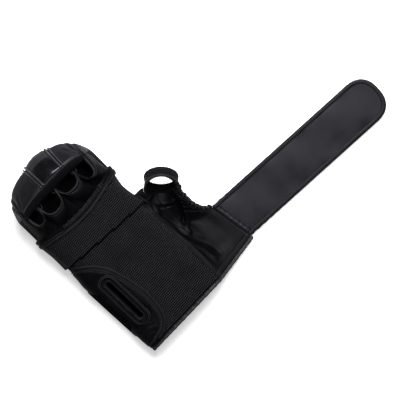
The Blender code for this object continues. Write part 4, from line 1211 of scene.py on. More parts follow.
def make_knuckle_panel():
    """Glossy panel between two double pipings on the guard."""
    low, high = KNUCKLE_PANEL_SIDES
    station = even_stations(KNUCKLE_PANEL_FOOT, LAST_STATION - 0.08, 0.0010)
    across = np.linspace(low, high, 44)
    share = np.linspace(0, 1, 44)[None, :]
    rise = np.linspace(0, 1, len(station))[:, None]
    puff = 0.0026 * (np.sin(math.pi * share) ** 0.6) * np.sin(math.pi * np.clip(rise, 0.02, 1)) ** 0.4
    base = pad_outer(station[:, None], across[None, :], 2 * CLEARANCE)
    puff = puff + 0.0004 * slow_noise(base, 0.016, 11) * np.sin(math.pi * share)
    top = pad_outer(station[:, None], across[None, :], 2 * CLEARANCE + PANEL_WALL + puff)
    declare(cloth_wall("gloss_knuckle_panel", top, base, [PATENT]), "gloss_panel", "knuckle_panel")
    shift = 2 * (WELT_RADIUS + CLEARANCE) / PAD_WIDTH
    stations = even_stations(KNUCKLE_PANEL_FOOT, LAST_STATION - 0.02, 0.0009)
    for name, place, way in (("ring", low - shift, -1), ("index", high + shift, 1)):
        parts = []
        for offset, radius in ((0.0, WELT_RADIUS), (0.0042, 0.0011)):
            path = pad_outer(stations, place + way * offset * 2 / PAD_WIDTH, radius + 0.0002)
            section = soft_box(2 * radius, 2 * radius, CORD_SIDES, 1.0)
            # Cords lighter all over, by the mask for wear and painted highlight.
            parts.append(tube("cord", rings_along(path, (1, 0, 0), section), PIPING_VINYL, 0.7))
        declare(joined("guard_piping_" + name, parts), "binding", "knuckle_piping_" + name)
        line = pad_outer(stations, place + way * 0.0074 * 2 / PAD_WIDTH, 0.0003)
        stitch("guard", line, -pad_inward(stations, place, 0.0))


def make_band():
    """Leather band across the palm with a turned lower edge and its seam."""
    angles = palm_angle_steps(math.pi, 0.0, 0.0013)
    from_edge = BAND_DEPTH * dense(BAND_DEPTH, 0.0004, 0.0008, 0.006)[:, None]
    y = band_y(palm_x(angles))[None, :] + from_edge
    relief = sewn_edge(from_edge, BAND_EDGE) - 0.0007 * bump(from_edge, 0.0, 0.0008)
    turn = angles[None, :]
    outer = palm_point(turn, y, BAND_TOP + relief)
    # Painted lighter along the turned hem: partly rubbed wear, partly painted highlight.
    wear_and_highlight = 0.7 * bump(from_edge, 0.0015, 0.0016)
    piece = cloth_wall("finger_band_leather", outer, palm_point(turn, y, BAND_LOW), [PALM_LEATHER], wear_and_highlight=wear_and_highlight)
    declare(piece, "leather", "finger_band")
    line = band_y(palm_x(angles)) + BAND_EDGE.seam
    stitch("fingers", palm_point(angles, line, BAND_TOP + 0.0001), palm_normal(angles, line))


def palm_angles(first, last, y):
    """Angles close together all over the palm, also at its middle, where x changes fast with the angle."""
    by_place = palm_angle(np.linspace(palm_x(first, y), palm_x(last, y), 700), y)
    angle = np.unique(np.concatenate([np.linspace(first, last, 700), np.clip(by_place, last, first)]))
    return angle[::-1]


def palm_angle_steps(first, last, step, y=0.09):
    """Angles at even distances across the palm."""
    angle = palm_angles(first, last, y)
    return even_values(angle, run_along(palm_base(angle, y)), step)


TAPE_PLEATS = 16


def make_gather_tape():
    """Gathered tape where the loops are sewn down."""
    first, last = (float(palm_angle(PAD_CENTRE + PALM_HALF * share)) for share in (-0.46, 0.70))
    angles = palm_angle_steps(first, last, 0.0004, BAND_Y)
    share = np.linspace(0, 1, 12)
    run = np.linspace(0, 1, len(angles))
    wave = 2 * math.pi * TAPE_PLEATS * run
    wave = wave + 1.6 * np.sin(2 * math.pi * 2.3 * run) + 0.9 * np.sin(2 * math.pi * 7 * run)
    pleat = np.tanh(2.4 * np.sin(wave))
    size = 0.22 + 0.78 * np.clip(1.9 * np.abs(run - 0.5) - 0.1, 0, 1)
    height = 0.0010 + 0.0013 * np.sin(math.pi * share)[:, None] ** 0.6 * (1 + pleat * size)[None, :]
    height += 0.0006 * share[:, None] * (1 + pleat * size)[None, :]
    wander = 0.0007 * np.sin(math.pi * 15 * run + 0.7)
    y = band_y(palm_x(angles))[None, :] + BAND_DEPTH * (0.50 + 0.52 * share)[:, None]
    y = y + wander * (share[:, None] - 0.2)
    low = BAND_TOP + 0.0002
    outer = palm_point(angles[None, :], y, low + height)
    inner = palm_point(angles[None, :], y, low + 0.25 * (height - height.min()))
    piece = cloth_wall("gathered_finger_tape", outer, inner, [TAPE])
    declare(piece, "binding", "gather_tape")


# Curls where two loops meet: the fold, turns of the spiral, and how it leans over the glove.
CURLS = ((1, 1.15, 0.35), (2, 1.25, -0.2), (3, 1.2, 0.3))


def make_loops():
    """Four leather finger loops with turned rims, pleats at their roots and folds between them."""
    for place, finger in enumerate(FINGERS):
        first = float(palm_angle(fold_root(place), BAND_Y + BAND_DEPTH))
        last = float(palm_angle(fold_root(place + 1), BAND_Y + BAND_DEPTH))
        share = dense(1.0, 0.006, 0.016, 0.08)
        rises = dense(0.050, 0.0004, 0.0015, 0.005)
        angles = first + (last - first) * share
        y = band_y(palm_x(angles)) + BAND_DEPTH - 0.0004
        root = palm_point(angles, y, BAND_TOP - 0.0004)
        rim = rim_point(share, LOOP_DEPTH_SHARE[finger], place)
        grid = root[None] * (1 - rises[:, None, None]) + rim[None] * rises[:, None, None]
        across = np.sin(math.pi * share)[None, :]
        grid[..., 2] += 2.0 * LOOP_BELLY * np.sin(math.pi * rises)[:, None] * across ** 0.7
        if finger in OUTER_LOOP_SIDES:
            side = OUTER_LOOP_SIDES[finger]
            column = 0 if side < 0 else len(share) - 1
            edge = side_edge(rises, side, grid[0, column], grid[-1, column])
            reach = np.clip(1 - np.abs(share - share[column]) / 0.55, 0, 1) ** 2
            grid = grid + (edge - grid[:, column])[:, None] * reach[None, :, None]
        normal = facing(grid_normals(grid), (0.0, -0.6, 0.8))
        for _ in range(8):
            normal[:, 1:-1] = unit(normal[:, 1:-1] * 2 + normal[:, :-2] + normal[:, 2:])
        ends = np.exp(-share / 0.05) + np.exp(-(1 - share) / 0.05)
        away = np.where(share < 0.5, -1.0, 1.0)[None, :, None] * np.array([1.0, 0, 0])
        turned = (smooth(1.5 * rises)[:, None] * np.clip(ends, 0, 1)[None, :])[..., None]
        normal = unit(normal * (1 - turned) + away * turned)
        length = cloth_uv(grid)[..., 1]
        to_rim = length[-1:] - length
        relief = sewn_edge(to_rim, LOOP_EDGE) + 0.0004 * bump(to_rim, 0.0009, 0.0009)
        fade = across ** 0.5
        pleats = np.sin(2 * math.pi * (share * 9 + 0.15 * np.sin(2 * math.pi * share * 2)))[None, :]
        relief = relief + 0.0006 * pleats * np.exp(-length / 0.006) * fade
        relief = relief + 0.0005 * slow_noise(grid, 0.020, 20 + place) * fade * smooth(to_rim / 0.006)
        outer = grid + normal * relief[..., None]
        # Rims painted lighter: partly rubbed wear, partly painted highlight.
        piece = cloth_wall(
            "finger_loop_%s_leather" % finger, outer, grid - normal * LOOP_WALL, [PALM_LEATHER, RIB_LINING],
            wear_and_highlight=0.9 * bump(to_rim, 0.0005, 0.0010), bulge=0.9)
        declare(piece, "leather", "finger_loop_" + finger)
        row = int(np.argmin(np.abs(to_rim[:, len(share) // 2] - LOOP_EDGE.seam)))
        stitch("fingers", outer[row, 8:-8] + normal[row, 8:-8] * 0.0002, normal[row, 8:-8])


def make_fold_curls():
    """Leather curled over at the three folds where neighbouring finger loops meet the guard."""
    parts = []
    for place, turns, lean in CURLS:
        foot = fold_top(place, 0)
        inward = pad_inward(ATTACH_STATION, FOLD_RIMS[place] * FOOT_SHARE, 1.0).reshape(3)
        swirl = np.linspace(0, 1, 70)
        angle = 2 * math.pi * turns * swirl + math.pi / 2
        radius = 0.0050 * (1 - 0.60 * swirl)
        flat = unit(np.array([1.0, lean, 0.0]))
        other = unit(np.array([-lean, 1.0, 0.0]))
        centre = foot + inward * 0.0032 - other * 0.0050
        line = centre + flat * (radius * np.cos(angle))[:, None] + other * (radius * np.sin(angle))[:, None]
        drop = np.linspace(0.0012, -0.0100, 14)[:, None, None] * np.array([0.0, 0.1, 1.0])
        grid = line[None] + drop
        away = unit(np.cross(np.gradient(line, axis=0), (0, 0, 1)))[None]
        # Top edge of each curl painted lighter: partly rubbed wear, partly painted highlight.
        rim = bump(np.linspace(0, 1, 14), 0, 0.2)[:, None]
        wall = away * LOOP_WALL / 2
        parts.append(cloth_wall("curl", grid + wall, grid - wall, [PALM_LEATHER], wear_and_highlight=rim))
    declare(joined("finger_loop_fold_curls", parts), "leather")


def make_palm():
    """Palm mesh in two layers: backing cloth, and knitted yarn that stands on it."""
    seam = float(palm_angle(THUMB_SEAM_X))
    main_angles = palm_angle_steps(math.pi, seam, 0.0014, 0.0)
    share = dense(0.138, 0.0004, 0.0015, 0.011, low=False)[:, None]
    end = crease_y(palm_x(main_angles)) + CREASE_LAP
    y = WRIST_EDGE_Y + (end[None, :] - WRIST_EDGE_Y) * share
    turn = main_angles[None, :]
    sag = 0.0005 * slow_noise(palm_base(turn, y), 0.05, 31)
    sag = sag - 0.0018 * bump(end[None, :] - CREASE_LAP - y, 0.0004, 0.0011)
    main = cloth_wall(
        "palm_mesh_wrist_cloth", palm_point(turn, y, MAIN_TOP + sag), palm_point(turn, y, 0.0), [PALM_MESH])
    cut_slot(main)
    declare(main, "mesh_fabric", "palm_mesh_wrist")

    angles = palm_angle_steps(math.pi, 0.0, 0.0014)
    low, high = crease_y(palm_x(angles)), band_y(palm_x(angles)) + 0.7 * BAND_DEPTH
    share = dense(0.040, 0.0004, 0.0012, 0.004, high=False)
    y = low[None, :] + (high - low)[None, :] * share[:, None]
    from_crease = y - low[None, :]
    roll = LAP_ROLL * bump(from_crease, 0.0024, 0.0024) - 0.0010 * bump(from_crease, 0, 0.0006)
    turn = angles[None, :]
    upper = cloth_wall(
        "palm_mesh_fingers_cloth", palm_point(turn, y, LAP_TOP + roll), palm_point(turn, y, LAP_LOW),
        [PALM_MESH])
    declare(upper, "mesh_fabric", "palm_mesh_fingers")

    knit_rows("wrist", math.pi, seam + 0.01, on_wrist_mesh, MAIN_TOP, 0.0)
    knit_rows("fingers", math.pi - 0.03, 0.03, on_finger_mesh, LAP_TOP + 0.0002, LAP_ROLL)


def on_wrist_mesh(x, y):
    outside_panel = (x > panel_outline(y) + 0.001) | (y > PANEL_LOW_Y + PANEL_LENGTH * 0.985)
    return (y > WRIST_EDGE_Y + 0.002) & (y < crease_y(x) - 0.0018) & outside_panel


def on_finger_mesh(x, y):
    return (y > crease_y(x) + 0.0009) & (y < band_y(x) - 0.0004)


YARN_PITCH = 0.0025
LAP_ROLL = 0.0017
ROW_STAGGER = -0.45


def knit_row_angles(first, last, phase, y):
    """Angles at even distances from the middle of the palm."""
    angle = palm_angles(first, last, y)
    length = run_along(palm_base(angle, y))
    length = length - np.interp(-math.pi / 2, -angle, length)
    steps = np.arange(math.ceil(length[0] / YARN_PITCH), math.floor(length[-1] / YARN_PITCH)) + phase % 1.0
    return np.interp(steps * YARN_PITCH, length, angle)


def knit_rows(name, first, last, keep, height, roll):
    """Short raised yarns in staggered rows across the palm; roll is the rise of the lapped edge."""
    places, alongs, outs = [], [], []
    for row, y in enumerate(np.arange(WRIST_EDGE_Y, BAND_Y + BAND_SWEEP, YARN_PITCH)):
        angles = knit_row_angles(first, last, ROW_STAGGER * row, float(y))
        x = palm_x(angles, y)
        angles = angles[keep(x, y + 0 * x)]
        if len(angles) < 3:
            continue
        lift = roll * bump(y - crease_y(palm_x(angles, y)), 0.0024, 0.0024)
        places.append(palm_point(angles, y, height + lift))
        outs.append(palm_normal(angles, y))
        alongs.append(unit(np.gradient(places[-1], axis=0)) + np.array([0.0, 0.30, 0.0]))
    sow("palm_mesh_yarn_" + name, np.concatenate(places), np.concatenate(alongs), np.concatenate(outs),
        YARN_BAR, MESH_YARN, "mesh_fabric")


def cut_slot(piece):
    """Cuts the strap's slot through a piece."""
    half, radius = SLOT_LENGTH / 2, SLOT_WIDTH / 2
    turn = np.linspace(0, math.pi, 16)
    upper = np.stack([radius * np.cos(turn), half - radius + radius * np.sin(turn)], -1)
    outline = np.concatenate([upper, -upper])
    low = float(foot_height(SLOT_Y, -1)) + PALM_CROWN / 4
    points = [(SLOT_X + x, SLOT_Y + y, z) for z in (low, low + PALM_CROWN * 1.5) for x, y in outline]
    count = len(outline)
    faces = [tuple(range(count)), tuple(range(2 * count - 1, count - 1, -1))]
    faces += [(j, count + j, count + (j + 1) % count, (j + 1) % count) for j in range(count)]
    cutter = new_piece("slot_shape", points, faces, [PALM_LEATHER])
    cut = piece.modifiers.new("slot", "BOOLEAN")
    cut.operation, cut.solver, cut.object = "DIFFERENCE", "EXACT", cutter
    graph = bpy.context.evaluated_depsgraph_get()
    mesh = bpy.data.meshes.new_from_object(piece.evaluated_get(graph))
    piece.modifiers.clear()
    piece.data = mesh
    bpy.data.objects.remove(cutter)


def slot_distance(points):
    """Distance from the line along the middle of the slot ring, looking down."""
    reach = (SLOT_RING_LENGTH - SLOT_RING_WIDTH) / 2
    past = np.maximum(np.abs(points[..., 1] - SLOT_Y) - reach, 0)
    return np.hypot(points[..., 0] - SLOT_X, past)


PILE_LOW_Y = -0.049
PILE_HIGH_Y = 0.024
PANEL_FOLDS = (
    Fold(height=0.8, width=2.2, path=((-60, -49.5), (-52, -52.7), (-41, -60))),
    Fold(height=-1.1, width=1.8, path=((-60, -53.5), (-51, -56.0), (-40, -62))),
    Fold(height=0.9, width=2.0, path=((-60, -57.0), (-51, -59.5), (-39, -65))),
    Fold(height=-0.9, width=1.8, path=((-60, -62.0), (-51, -64.0), (-43, -68))),
    Fold(height=0.7, width=2.0, path=((-61, 14.0), (-57.5, 1.0), (-54.5, -38.0))),
)
# Shares from the slot to the slot ring's outer edge, and the two among them that are sewn.
SLOT_RING_STEPS = (
    0, 0.03, 0.08, 0.14, 0.20, 0.26, 0.31, 0.36, 0.42, 0.50,
    0.58, 0.64, 0.69, 0.74, 0.80, 0.86, 0.92, 0.97, 1,
)
SLOT_RING_SEAMS = (0.42, 1)


def pile_edge_angle(y):
    """Edge of the reinforcing panel beside the loop pile."""
    inset = 0.0050 * smooth((y - PILE_LOW_Y) / 0.010) * smooth((PILE_HIGH_Y - y) / 0.012)
    half, centre = waist(y)
    return palm_angle(centre - half + inset, y) - 0.01 * (inset < 0.0001)


def panel_rows():
    """Places along the reinforcing panel, close together at its ends, up to the crease."""
    y = PANEL_LOW_Y + PANEL_LENGTH * dense(PANEL_LENGTH, 0.0006, 0.0010, 0.006)
    return np.minimum(y, crease_y(panel_outline(y)) - 2 * CLEARANCE)


def beside_panel_edge(shift):
    """Line beside the reinforcing panel's free edge, moved outwards by shift."""
    rows = panel_rows()
    y = np.linspace(rows[2], rows[-3], 240)
    x = panel_outline(y)
    outward = unit(np.stack([np.gradient(y), -np.gradient(x)], -1))
    return x + outward[:, 0] * shift, y + outward[:, 1] * shift


def make_reinforcing_panel():
    """D-shaped panel with its folds, a hem and its seam."""
    low, high = LAP_LOW, LAP_LOW + LEATHER_WALL
    y = panel_rows()
    side = pile_edge_angle(y)
    free = palm_angle(panel_outline(y), y)
    across = dense(0.045, 0.0004, 0.0008, 0.006, low=False)
    angles = side[:, None] + (free - side)[:, None] * across[None, :]
    rows = np.broadcast_to(y[:, None], angles.shape)
    place = palm_base(angles, rows)
    edge, _ = nearest(place, np.stack([panel_outline(y), y, 0 * y], -1))
    relief = folds(place, PANEL_FOLDS) * smooth(edge / 0.004)
    relief = relief + sewn_edge(edge, PANEL_EDGE)
    relief = relief - 0.0010 * bump(slot_distance(place), SLOT_RING_WIDTH / 2 + 0.0006, 0.0008)
    relief = relief + 0.0003 * slow_noise(place, 0.018, 41)
    # Painted lighter along the hem: partly rubbed wear, partly painted highlight.
    panel = cloth_wall(
        "reinforcing_panel_leather", palm_point(angles, rows, high + relief), palm_point(angles, rows, low),
        [PALM_LEATHER], wear_and_highlight=0.5 * bump(edge, 0.0015, 0.0012))
    cut_slot(panel)
    declare(panel, "leather", "reinforcing_panel")
    x, y = beside_panel_edge(-PANEL_EDGE.seam)
    angle = palm_angle(x, y)
    stitch("palm", palm_point(angle, y, high + 0.0001), palm_normal(angle, y))


def make_panel_welt():
    x, y = beside_panel_edge(WELT_RADIUS + 2 * CLEARANCE)
    keep = (y > WRIST_EDGE_Y + WELT_RADIUS) & (y < crease_y(x) - WELT_RADIUS - CLEARANCE)
    x, y = x[keep], y[keep]
    path = even(palm_point(palm_angle(x, y), y, LAP_LOW + WELT_RADIUS), 0.0010)
    section = soft_box(2 * WELT_RADIUS, 2.3 * WELT_RADIUS, 18, 0.9)
    # Lighter all over, by the mask for wear and painted highlight.
    piece = tube("panel_welt_leather", rings_along(path, (0, 0, 1), section), PALM_LEATHER, 0.35)
    declare(piece, "leather", "panel_welt")


def make_slot_ring():
    """Raised ring round the slot: two rolls with a sewn groove between them."""
    high = LAP_LOW + LEATHER_WALL
    turn = np.linspace(0, 2 * math.pi, 240, endpoint=False)
    turn = turn + 0.35 * np.sin(2 * turn)
    spread = np.tanh(np.sin(turn) * 9)
    inner_half, outer_half = SLOT_WIDTH / 2 + CLEARANCE, SLOT_RING_WIDTH / 2
    inner_reach = SLOT_LENGTH / 2 - SLOT_WIDTH / 2
    outer_reach = (SLOT_RING_LENGTH - SLOT_RING_WIDTH) / 2
    tops, feet, wear_and_highlight = [], [], []
    for part in SLOT_RING_STEPS:
        radius = inner_half + (outer_half - inner_half) * part
        reach = inner_reach + (outer_reach - inner_reach) * part
        x, y = SLOT_X + radius * np.cos(turn), SLOT_Y + radius * np.sin(turn) + reach * spread
        angle = palm_angle(x, y)
        rise = 0.30 + 0.9 * bump(part, 0.17, 0.12) + 1.3 * bump(part, 0.72, 0.19)
        rise = rise - 0.25 * bump(part, 0.40, 0.06)
        feet.append(palm_point(angle, y, high))
        tops.append(palm_point(angle, y, high + 1.7 * SLOT_RING_RISE * rise))
        # Crests of the two rolls painted lighter: partly rubbed wear, partly painted highlight.
        wear_and_highlight.append(np.full(len(turn), 0.6 * bump(part, 0.14, 0.1) + 0.5 * bump(part, 0.78, 0.12)))
        if part in SLOT_RING_SEAMS:
            stitch("palm", tops[-1] + palm_normal(angle, y) * 0.0001, palm_normal(angle, y), closed=True)
    piece = cloth_wall(
        "slot_ring_leather", np.array(tops), np.array(feet), [PALM_LEATHER], closed=True, wear_and_highlight=np.array(wear_and_highlight))
    declare(piece, "leather", "slot_ring")


def make_side_strip():
    """Leather strip on the little finger's edge."""
    angles = np.linspace(math.pi - 0.012, math.pi * 0.86, 26)
    x = palm_x(angles)
    share = np.linspace(0, 1, 40)[:, None]
    y = (crease_y(x) + 0.001)[None, :] + (band_y(x) - crease_y(x) - 0.001)[None, :] * share
    edge = np.linspace(1, 0, 26)[None, :] * 0.008
    relief = sewn_edge(edge, STRIP_EDGE)
    # Lighter all over, by the mask for wear and painted highlight.
    piece = cloth_wall(
        "side_strip_leather", palm_point(angles[None, :], y, BAND_TOP + relief),
        palm_point(angles[None, :], y, BAND_LOW), [PALM_LEATHER], wear_and_highlight=0.4)
    declare(piece, "leather", "side_strip")


RING_STITCHES = 0.0042
RING_RIM_DROP = 0.20


def make_thumb_ring():
    """Leather ring for the thumb with a turned hem at each rim, lined inside."""
    turn = np.linspace(0, 2 * math.pi, 200, endpoint=False)
    along = dense(RING_LENGTH, 0.0004, 0.0009, 0.005)[:, None]
    near, far = RING_LENGTH * along, RING_LENGTH * (1 - along)
    relief = np.zeros((len(along), len(turn)))
    for edge in (near, far):
        relief += sewn_edge(edge, RING_EDGE) + 0.0003 * bump(edge, 0.0008, 0.0008)
    lower = ring_sag(turn)
    place = along + RING_RIM_DROP * lower[None, :] * (1 - along) ** 2
    outer = ring_point(turn[None, :], place, relief)
    relief += 0.0005 * slow_noise(outer, 0.018, 51) * np.sin(math.pi * along)
    outer = ring_point(turn[None, :], place, relief)
    inner = ring_point(turn[None, :], place, -RING_WALL)
    # Both rims painted lighter: partly rubbed wear, partly painted highlight.
    wear_and_highlight = np.clip(bump(near, 0.0008, 0.0013) + bump(far, 0.0008, 0.0013), 0, 1)
    piece = cloth_wall(
        "thumb_ring_leather", outer, inner, [PALM_LEATHER, RIB_LINING], closed=True, wear_and_highlight=wear_and_highlight, bulge=0.9)
    declare(piece, "leather", "thumb_ring")
    for spot in (RING_STITCHES / RING_LENGTH, 1 - RING_STITCHES / RING_LENGTH):
        path = ring_point(turn, spot + RING_RIM_DROP * lower * (1 - spot) ** 2, 0.0003)
        stitch("thumb", path, unit(path - ring_point(turn, spot, -0.01)), closed=True)


def make_thumb_tab():
    """Gathered tab between thumb ring and palm."""
    v, u = np.linspace(-0.45, 1.05, 90), np.linspace(0, 1, 40)[None, :, None]
    y = crease_y(THUMB_SEAM_X) + TAB_SHIFT + TAB_WIDTH * v
    palm_side = palm_point(TAB_PALM_ANGLE, y, LAP_TOP + LEATHER_WALL + CLEARANCE)[:, None]
    turn = np.radians(TAB_TURN_LOW + (TAB_TURN_HIGH - TAB_TURN_LOW) * v)
    ring_side = ring_point(turn, 0.06, LEATHER_WALL / 2 + 2 * CLEARANCE)[:, None]
    grid = palm_side * (1 - u) + ring_side * u
    grid[..., 2] -= TAB_SAG * np.sin(math.pi * u[..., 0])
    normal = facing(grid_normals(grid), (0, 0, 1))
    across = u[..., 0]
    gathers = 0.0015 * np.sin(2 * math.pi * (3.4 * v[:, None] + 0.35 * across)) * smooth(across / 0.25)
    gathers = gathers + 0.0012 * bump(across, 0.92, 0.08)
    half = LEATHER_WALL / 2
    middle = grid + normal * (0.0006 + gathers)[..., None]
    # Lighter all over, by the mask for wear and painted highlight.
    piece = cloth_wall(
        "thumb_tab_leather", middle + normal * half, middle - normal * half, [PALM_LEATHER], wear_and_highlight=0.3)
    declare(piece, "leather", "thumb_tab")


THUMB_FOLDS = (
    Fold(height=2.2, width=2.6, path=(
        (61.7, 51), (57.5, 36), (56.2, 19), (57.4, 3), (59.0, -14), (60.0, -33), (60.5, -54), (62, -70))),
    Fold(height=-2.4, width=2.0, path=(
        (64.6, 48), (61.5, 35), (59.8, 22), (61.5, 8), (62.5, -4), (64.0, -18))),
    Fold(height=-3.0, width=2.4, path=((64.5, 34), (65.0, 22), (66.5, 8), (66.3, -6), (68.0, -20))),
    Fold(height=-2.2, width=4.4, path=((66.5, -12), (71, -25), (77, -38), (80, -52), (79, -68))),
    Fold(height=1.5, width=2.2, path=((63, -16), (65, -32), (69, -48), (71, -66))),
    Fold(height=-3.8, width=1.9, path=((84, 34), (90.5, 27.3), (87.0, 16.7), (83.0, 9.1), (72.4, -5.5))),
    Fold(height=1.8, width=2.6, path=((88, 32), (94.0, 25.0), (91.0, 15.0), (86.5, 7.0), (76.4, -8.0))),
    Fold(height=-0.9, width=1.0, path=((65.0, 36), (73.5, 29.5), (86.0, 21.5))),
    Fold(height=1.0, width=2.0, path=((68.0, 41), (75.5, 33.5), (88.0, 25.5))),
    Fold(height=-1.8, width=1.2, path=((90.5, 27.0), (95.5, 16.5), (98, 12))),
    Fold(height=-2.0, width=1.3, path=((88.2, 20.5), (97.4, 6.6), (100, 3))),
    Fold(height=-2.0, width=1.3, path=((84.9, 14.6), (97.1, -0.6), (101, -4))),
    Fold(height=1.3, width=1.8, path=((79.5, -3.6), (72.9, -9.6), (72.3, -18.2))),
)
# Steps of the leather over the ring's near rim: share along the ring, and how far outside it in mm.
RIM_ROWS = (
    (-0.07, 0.9), (-0.11, 0.2), (-0.13, -0.8), (-0.115, -1.9), (-0.08, -2.8), (-0.02, -3.4), (0.06, -3.7),
    (0.12, -3.8),
)
STRAIGHT_STEP = 0.06
INSIDE_MM = 3.8


def leather_into_ring(grid):
    """Rows that carry the thumb panel's leather over the ring's near rim and down inside it."""
    turns = np.radians(np.linspace(128, 266, 300))
    rim = ring_point(turns, -0.02, over_rim(turns))
    edge, before = grid[-1], grid[-1] - grid[-2]
    gap = np.linalg.norm(edge[:, None] - rim[None], axis=-1)
    turn = turns[np.argmin(gap, axis=1)]
    on_rim = smooth(1.2 - gap.min(axis=1) / 0.005)[:, None]
    sag = ring_sag(turn)
    start = ring_point(turn, -0.02, over_rim(turn))
    rows = []
    for k, (along, grow) in enumerate(RIM_ROWS):
        along = along * (1 - sag) + STRAIGHT_STEP * (k + 1) * sag
        grow = grow * (1 - sag) - INSIDE_MM * sag
        step = ring_point(turn, along, grow * MM) - start
        rows.append(edge + step * on_rim + unit(before) * (1 - on_rim) * 0.0005 * (k + 1))
    return np.array(rows)


CUFF_SEAM = 0.0050
ROPE_STEP = 0.00035
ROPE_TWIST = 0.0125


def make_thumb_panel():
    """Leather between palm, thumb ring and strap, with its folds, its rope-like edge and the cuff."""
    v = dense(0.130, 0.0008, 0.0011, 0.010)
    u = dense(0.055, 0.0005, 0.0009, 0.006)
    grid = thumb_panel_grid(v, u)
    grid = np.concatenate([grid, leather_into_ring(grid)])
    low, high = len(v) - 18, len(v) + 6
    for _ in range(40):
        grid[low:high] = (grid[low - 1:high - 1] + 2 * grid[low:high] + grid[low + 1:high + 1]) / 4
    normal = facing(grid_normals(grid), (0, 0, 1))
    uv = cloth_uv(grid)
    from_left = uv[..., 0] - uv[:, :1, 0]
    from_right = uv[:, -1:, 0] - uv[..., 0]
    from_cuff = uv[..., 1]
    to_ring = from_cuff[len(v) - 1] - from_cuff
    calm = smooth(from_left / 0.004) * smooth(from_right / 0.004)
    calm = calm * smooth(from_cuff / 0.008) * smooth(to_ring / 0.005)
    relief = folds(grid, THUMB_FOLDS) * calm
    relief = relief + 0.0005 * slow_noise(grid, 0.022, 61) * calm
    relief = relief + sewn_edge(from_right, THUMB_EDGE) + 0.0007 * bump(from_right, 0.0030, 0.0008)
    relief = relief - 0.0005 * bump(from_cuff, CUFF_SEAM, 0.0007)
    half = LEATHER_WALL / 2
    lowest = half + 0.0004
    middle = grid + normal * relief[..., None]
    middle[..., 2] = lowest + np.logaddexp(0, (middle[..., 2] - lowest) / 0.0008) * 0.0008
    # Painted lighter along both edges: partly rubbed wear, partly painted highlight.
    wear_and_highlight = 0.7 * bump(from_right, 0.0028, 0.0012) + 0.3 * bump(from_left, 0.004, 0.003)
    piece = cloth_wall(
        "thumb_panel_leather", middle + normal * half, middle - normal * half, [PALM_LEATHER], wear_and_highlight=wear_and_highlight)
    declare(piece, "leather", "thumb_panel")
    at = int(np.argmin(np.abs(from_cuff[:, len(u) // 2] - CUFF_SEAM)))
    stitch("thumb", middle[at] + normal[at] * (half + 0.0001), normal[at])
    make_thumb_rope()
    cuff = grid[0, 1:-1] - np.array([0.0, BINDING_RADIUS + CLEARANCE, 0.0])
    make_binding("cuff_binding_tape", cuff, "cuff_binding", "thumb", 71)


def make_thumb_rope():
    """Gathered edge of the thumb panel, twisted like a rope, thin where it starts and where it ends."""
    beyond = ring_point(np.radians([268, 280, 293, 306, 318, 330]), -0.04, np.linspace(0.9, 0, 6) * MM)
    edge = even(np.concatenate([thumb_edge(np.linspace(0.0, 0.99, 200)), beyond]), ROPE_STEP)
    out = unit(np.cross(unit(np.gradient(edge, axis=0)), np.array([0.0, 0.0, 1.0])))
    path = edge + out * 0.0011 + np.array([0.0, 0.0, 0.0007])
    run = np.arange(len(path)) * ROPE_STEP
    turn = np.arange(28) * 2 * math.pi / 28
    strands = np.abs(np.cos(turn[None, :] - 2 * math.pi * run[:, None] / ROPE_TWIST)) ** 0.6
    uneven = 1 + 0.12 * np.sin(run * 700)[:, None] + 0.06 * np.sin(run * 1630 + 1)[:, None]
    radius = GATHER_RADIUS * (0.62 + 0.58 * strands) * uneven
    radius = radius * smooth(run / 0.006 + 0.35)[:, None]
    radius = radius * (0.40 + 0.60 * smooth(run[::-1] / 0.024))[:, None]
    shape = np.stack([radius * np.cos(turn), radius * np.sin(turn)], -1)
    rings = rings_along(path, (0, 0, 1), shape)
    # Crests of the twisted strands painted lighter: painted highlight, partly wear.
    rope = tube("thumb_gathered_rope", rings, PALM_LEATHER, 0.9 * strands ** 2)
    declare(rope, "binding", "thumb_gather")


BINDING_STEP = 0.0008
PUCKER_SIZES = (0.0045, 0.008, 0.014)


def make_binding(name, path, node, group, seed):
    """Folded tape over a wrist edge: a flat oval with a groove, a stitched line and slight puckers."""
    path = even(path, BINDING_STEP)
    run = np.arange(len(path)) * BINDING_STEP
    section = soft_box(2 * BINDING_RADIUS, 2 * BINDING_RADIUS, 26, 0.75)
    random = np.random.default_rng(seed)
    pucker = sum(np.sin(run * 2 * math.pi / size + random.uniform(0, 6)) for size in PUCKER_SIZES) / 3
    shape = section[None] * (1 + 0.13 * pucker[:, None, None])
    shape[..., 1] -= 0.0005 * bump(section[:, 0], 0.0010, 0.0006) * (section[:, 1] > 0)
    # A lighter line along one side of the tape: painted highlight, partly wear.
    wear_and_highlight = 0.8 * bump(section[:, 0], -0.0006, 0.0010)
    rings = rings_along(path, (0, 1, 0), shape)
    declare(tube(name, rings, BINDING_LEATHER, wear_and_highlight), "binding", node)
    line = rings[np.arange(len(path)), np.argmax(rings[..., 2], axis=1)]
    stitch(group, line[3:-3], (0, 0, 1))


def make_wrist_binding():
    angles = np.linspace(math.pi - 0.05, float(palm_angle(THUMB_SEAM_X)), 90)
    path = palm_point(angles, WRIST_EDGE_Y, MESH_WALL / 2) - np.array([0, BINDING_RADIUS + CLEARANCE, 0])
    path[:, 2] = np.maximum(path[:, 2], path[0, 2] + BINDING_RADIUS)
    make_binding("wrist_binding_tape", path, "wrist_binding", "palm", 72)


STRAP_TIP_POWER = 0.80
STRAP_TOP = STRAP_SEAT + STRAP_THICKNESS
STRAP_STEP = 0.0011


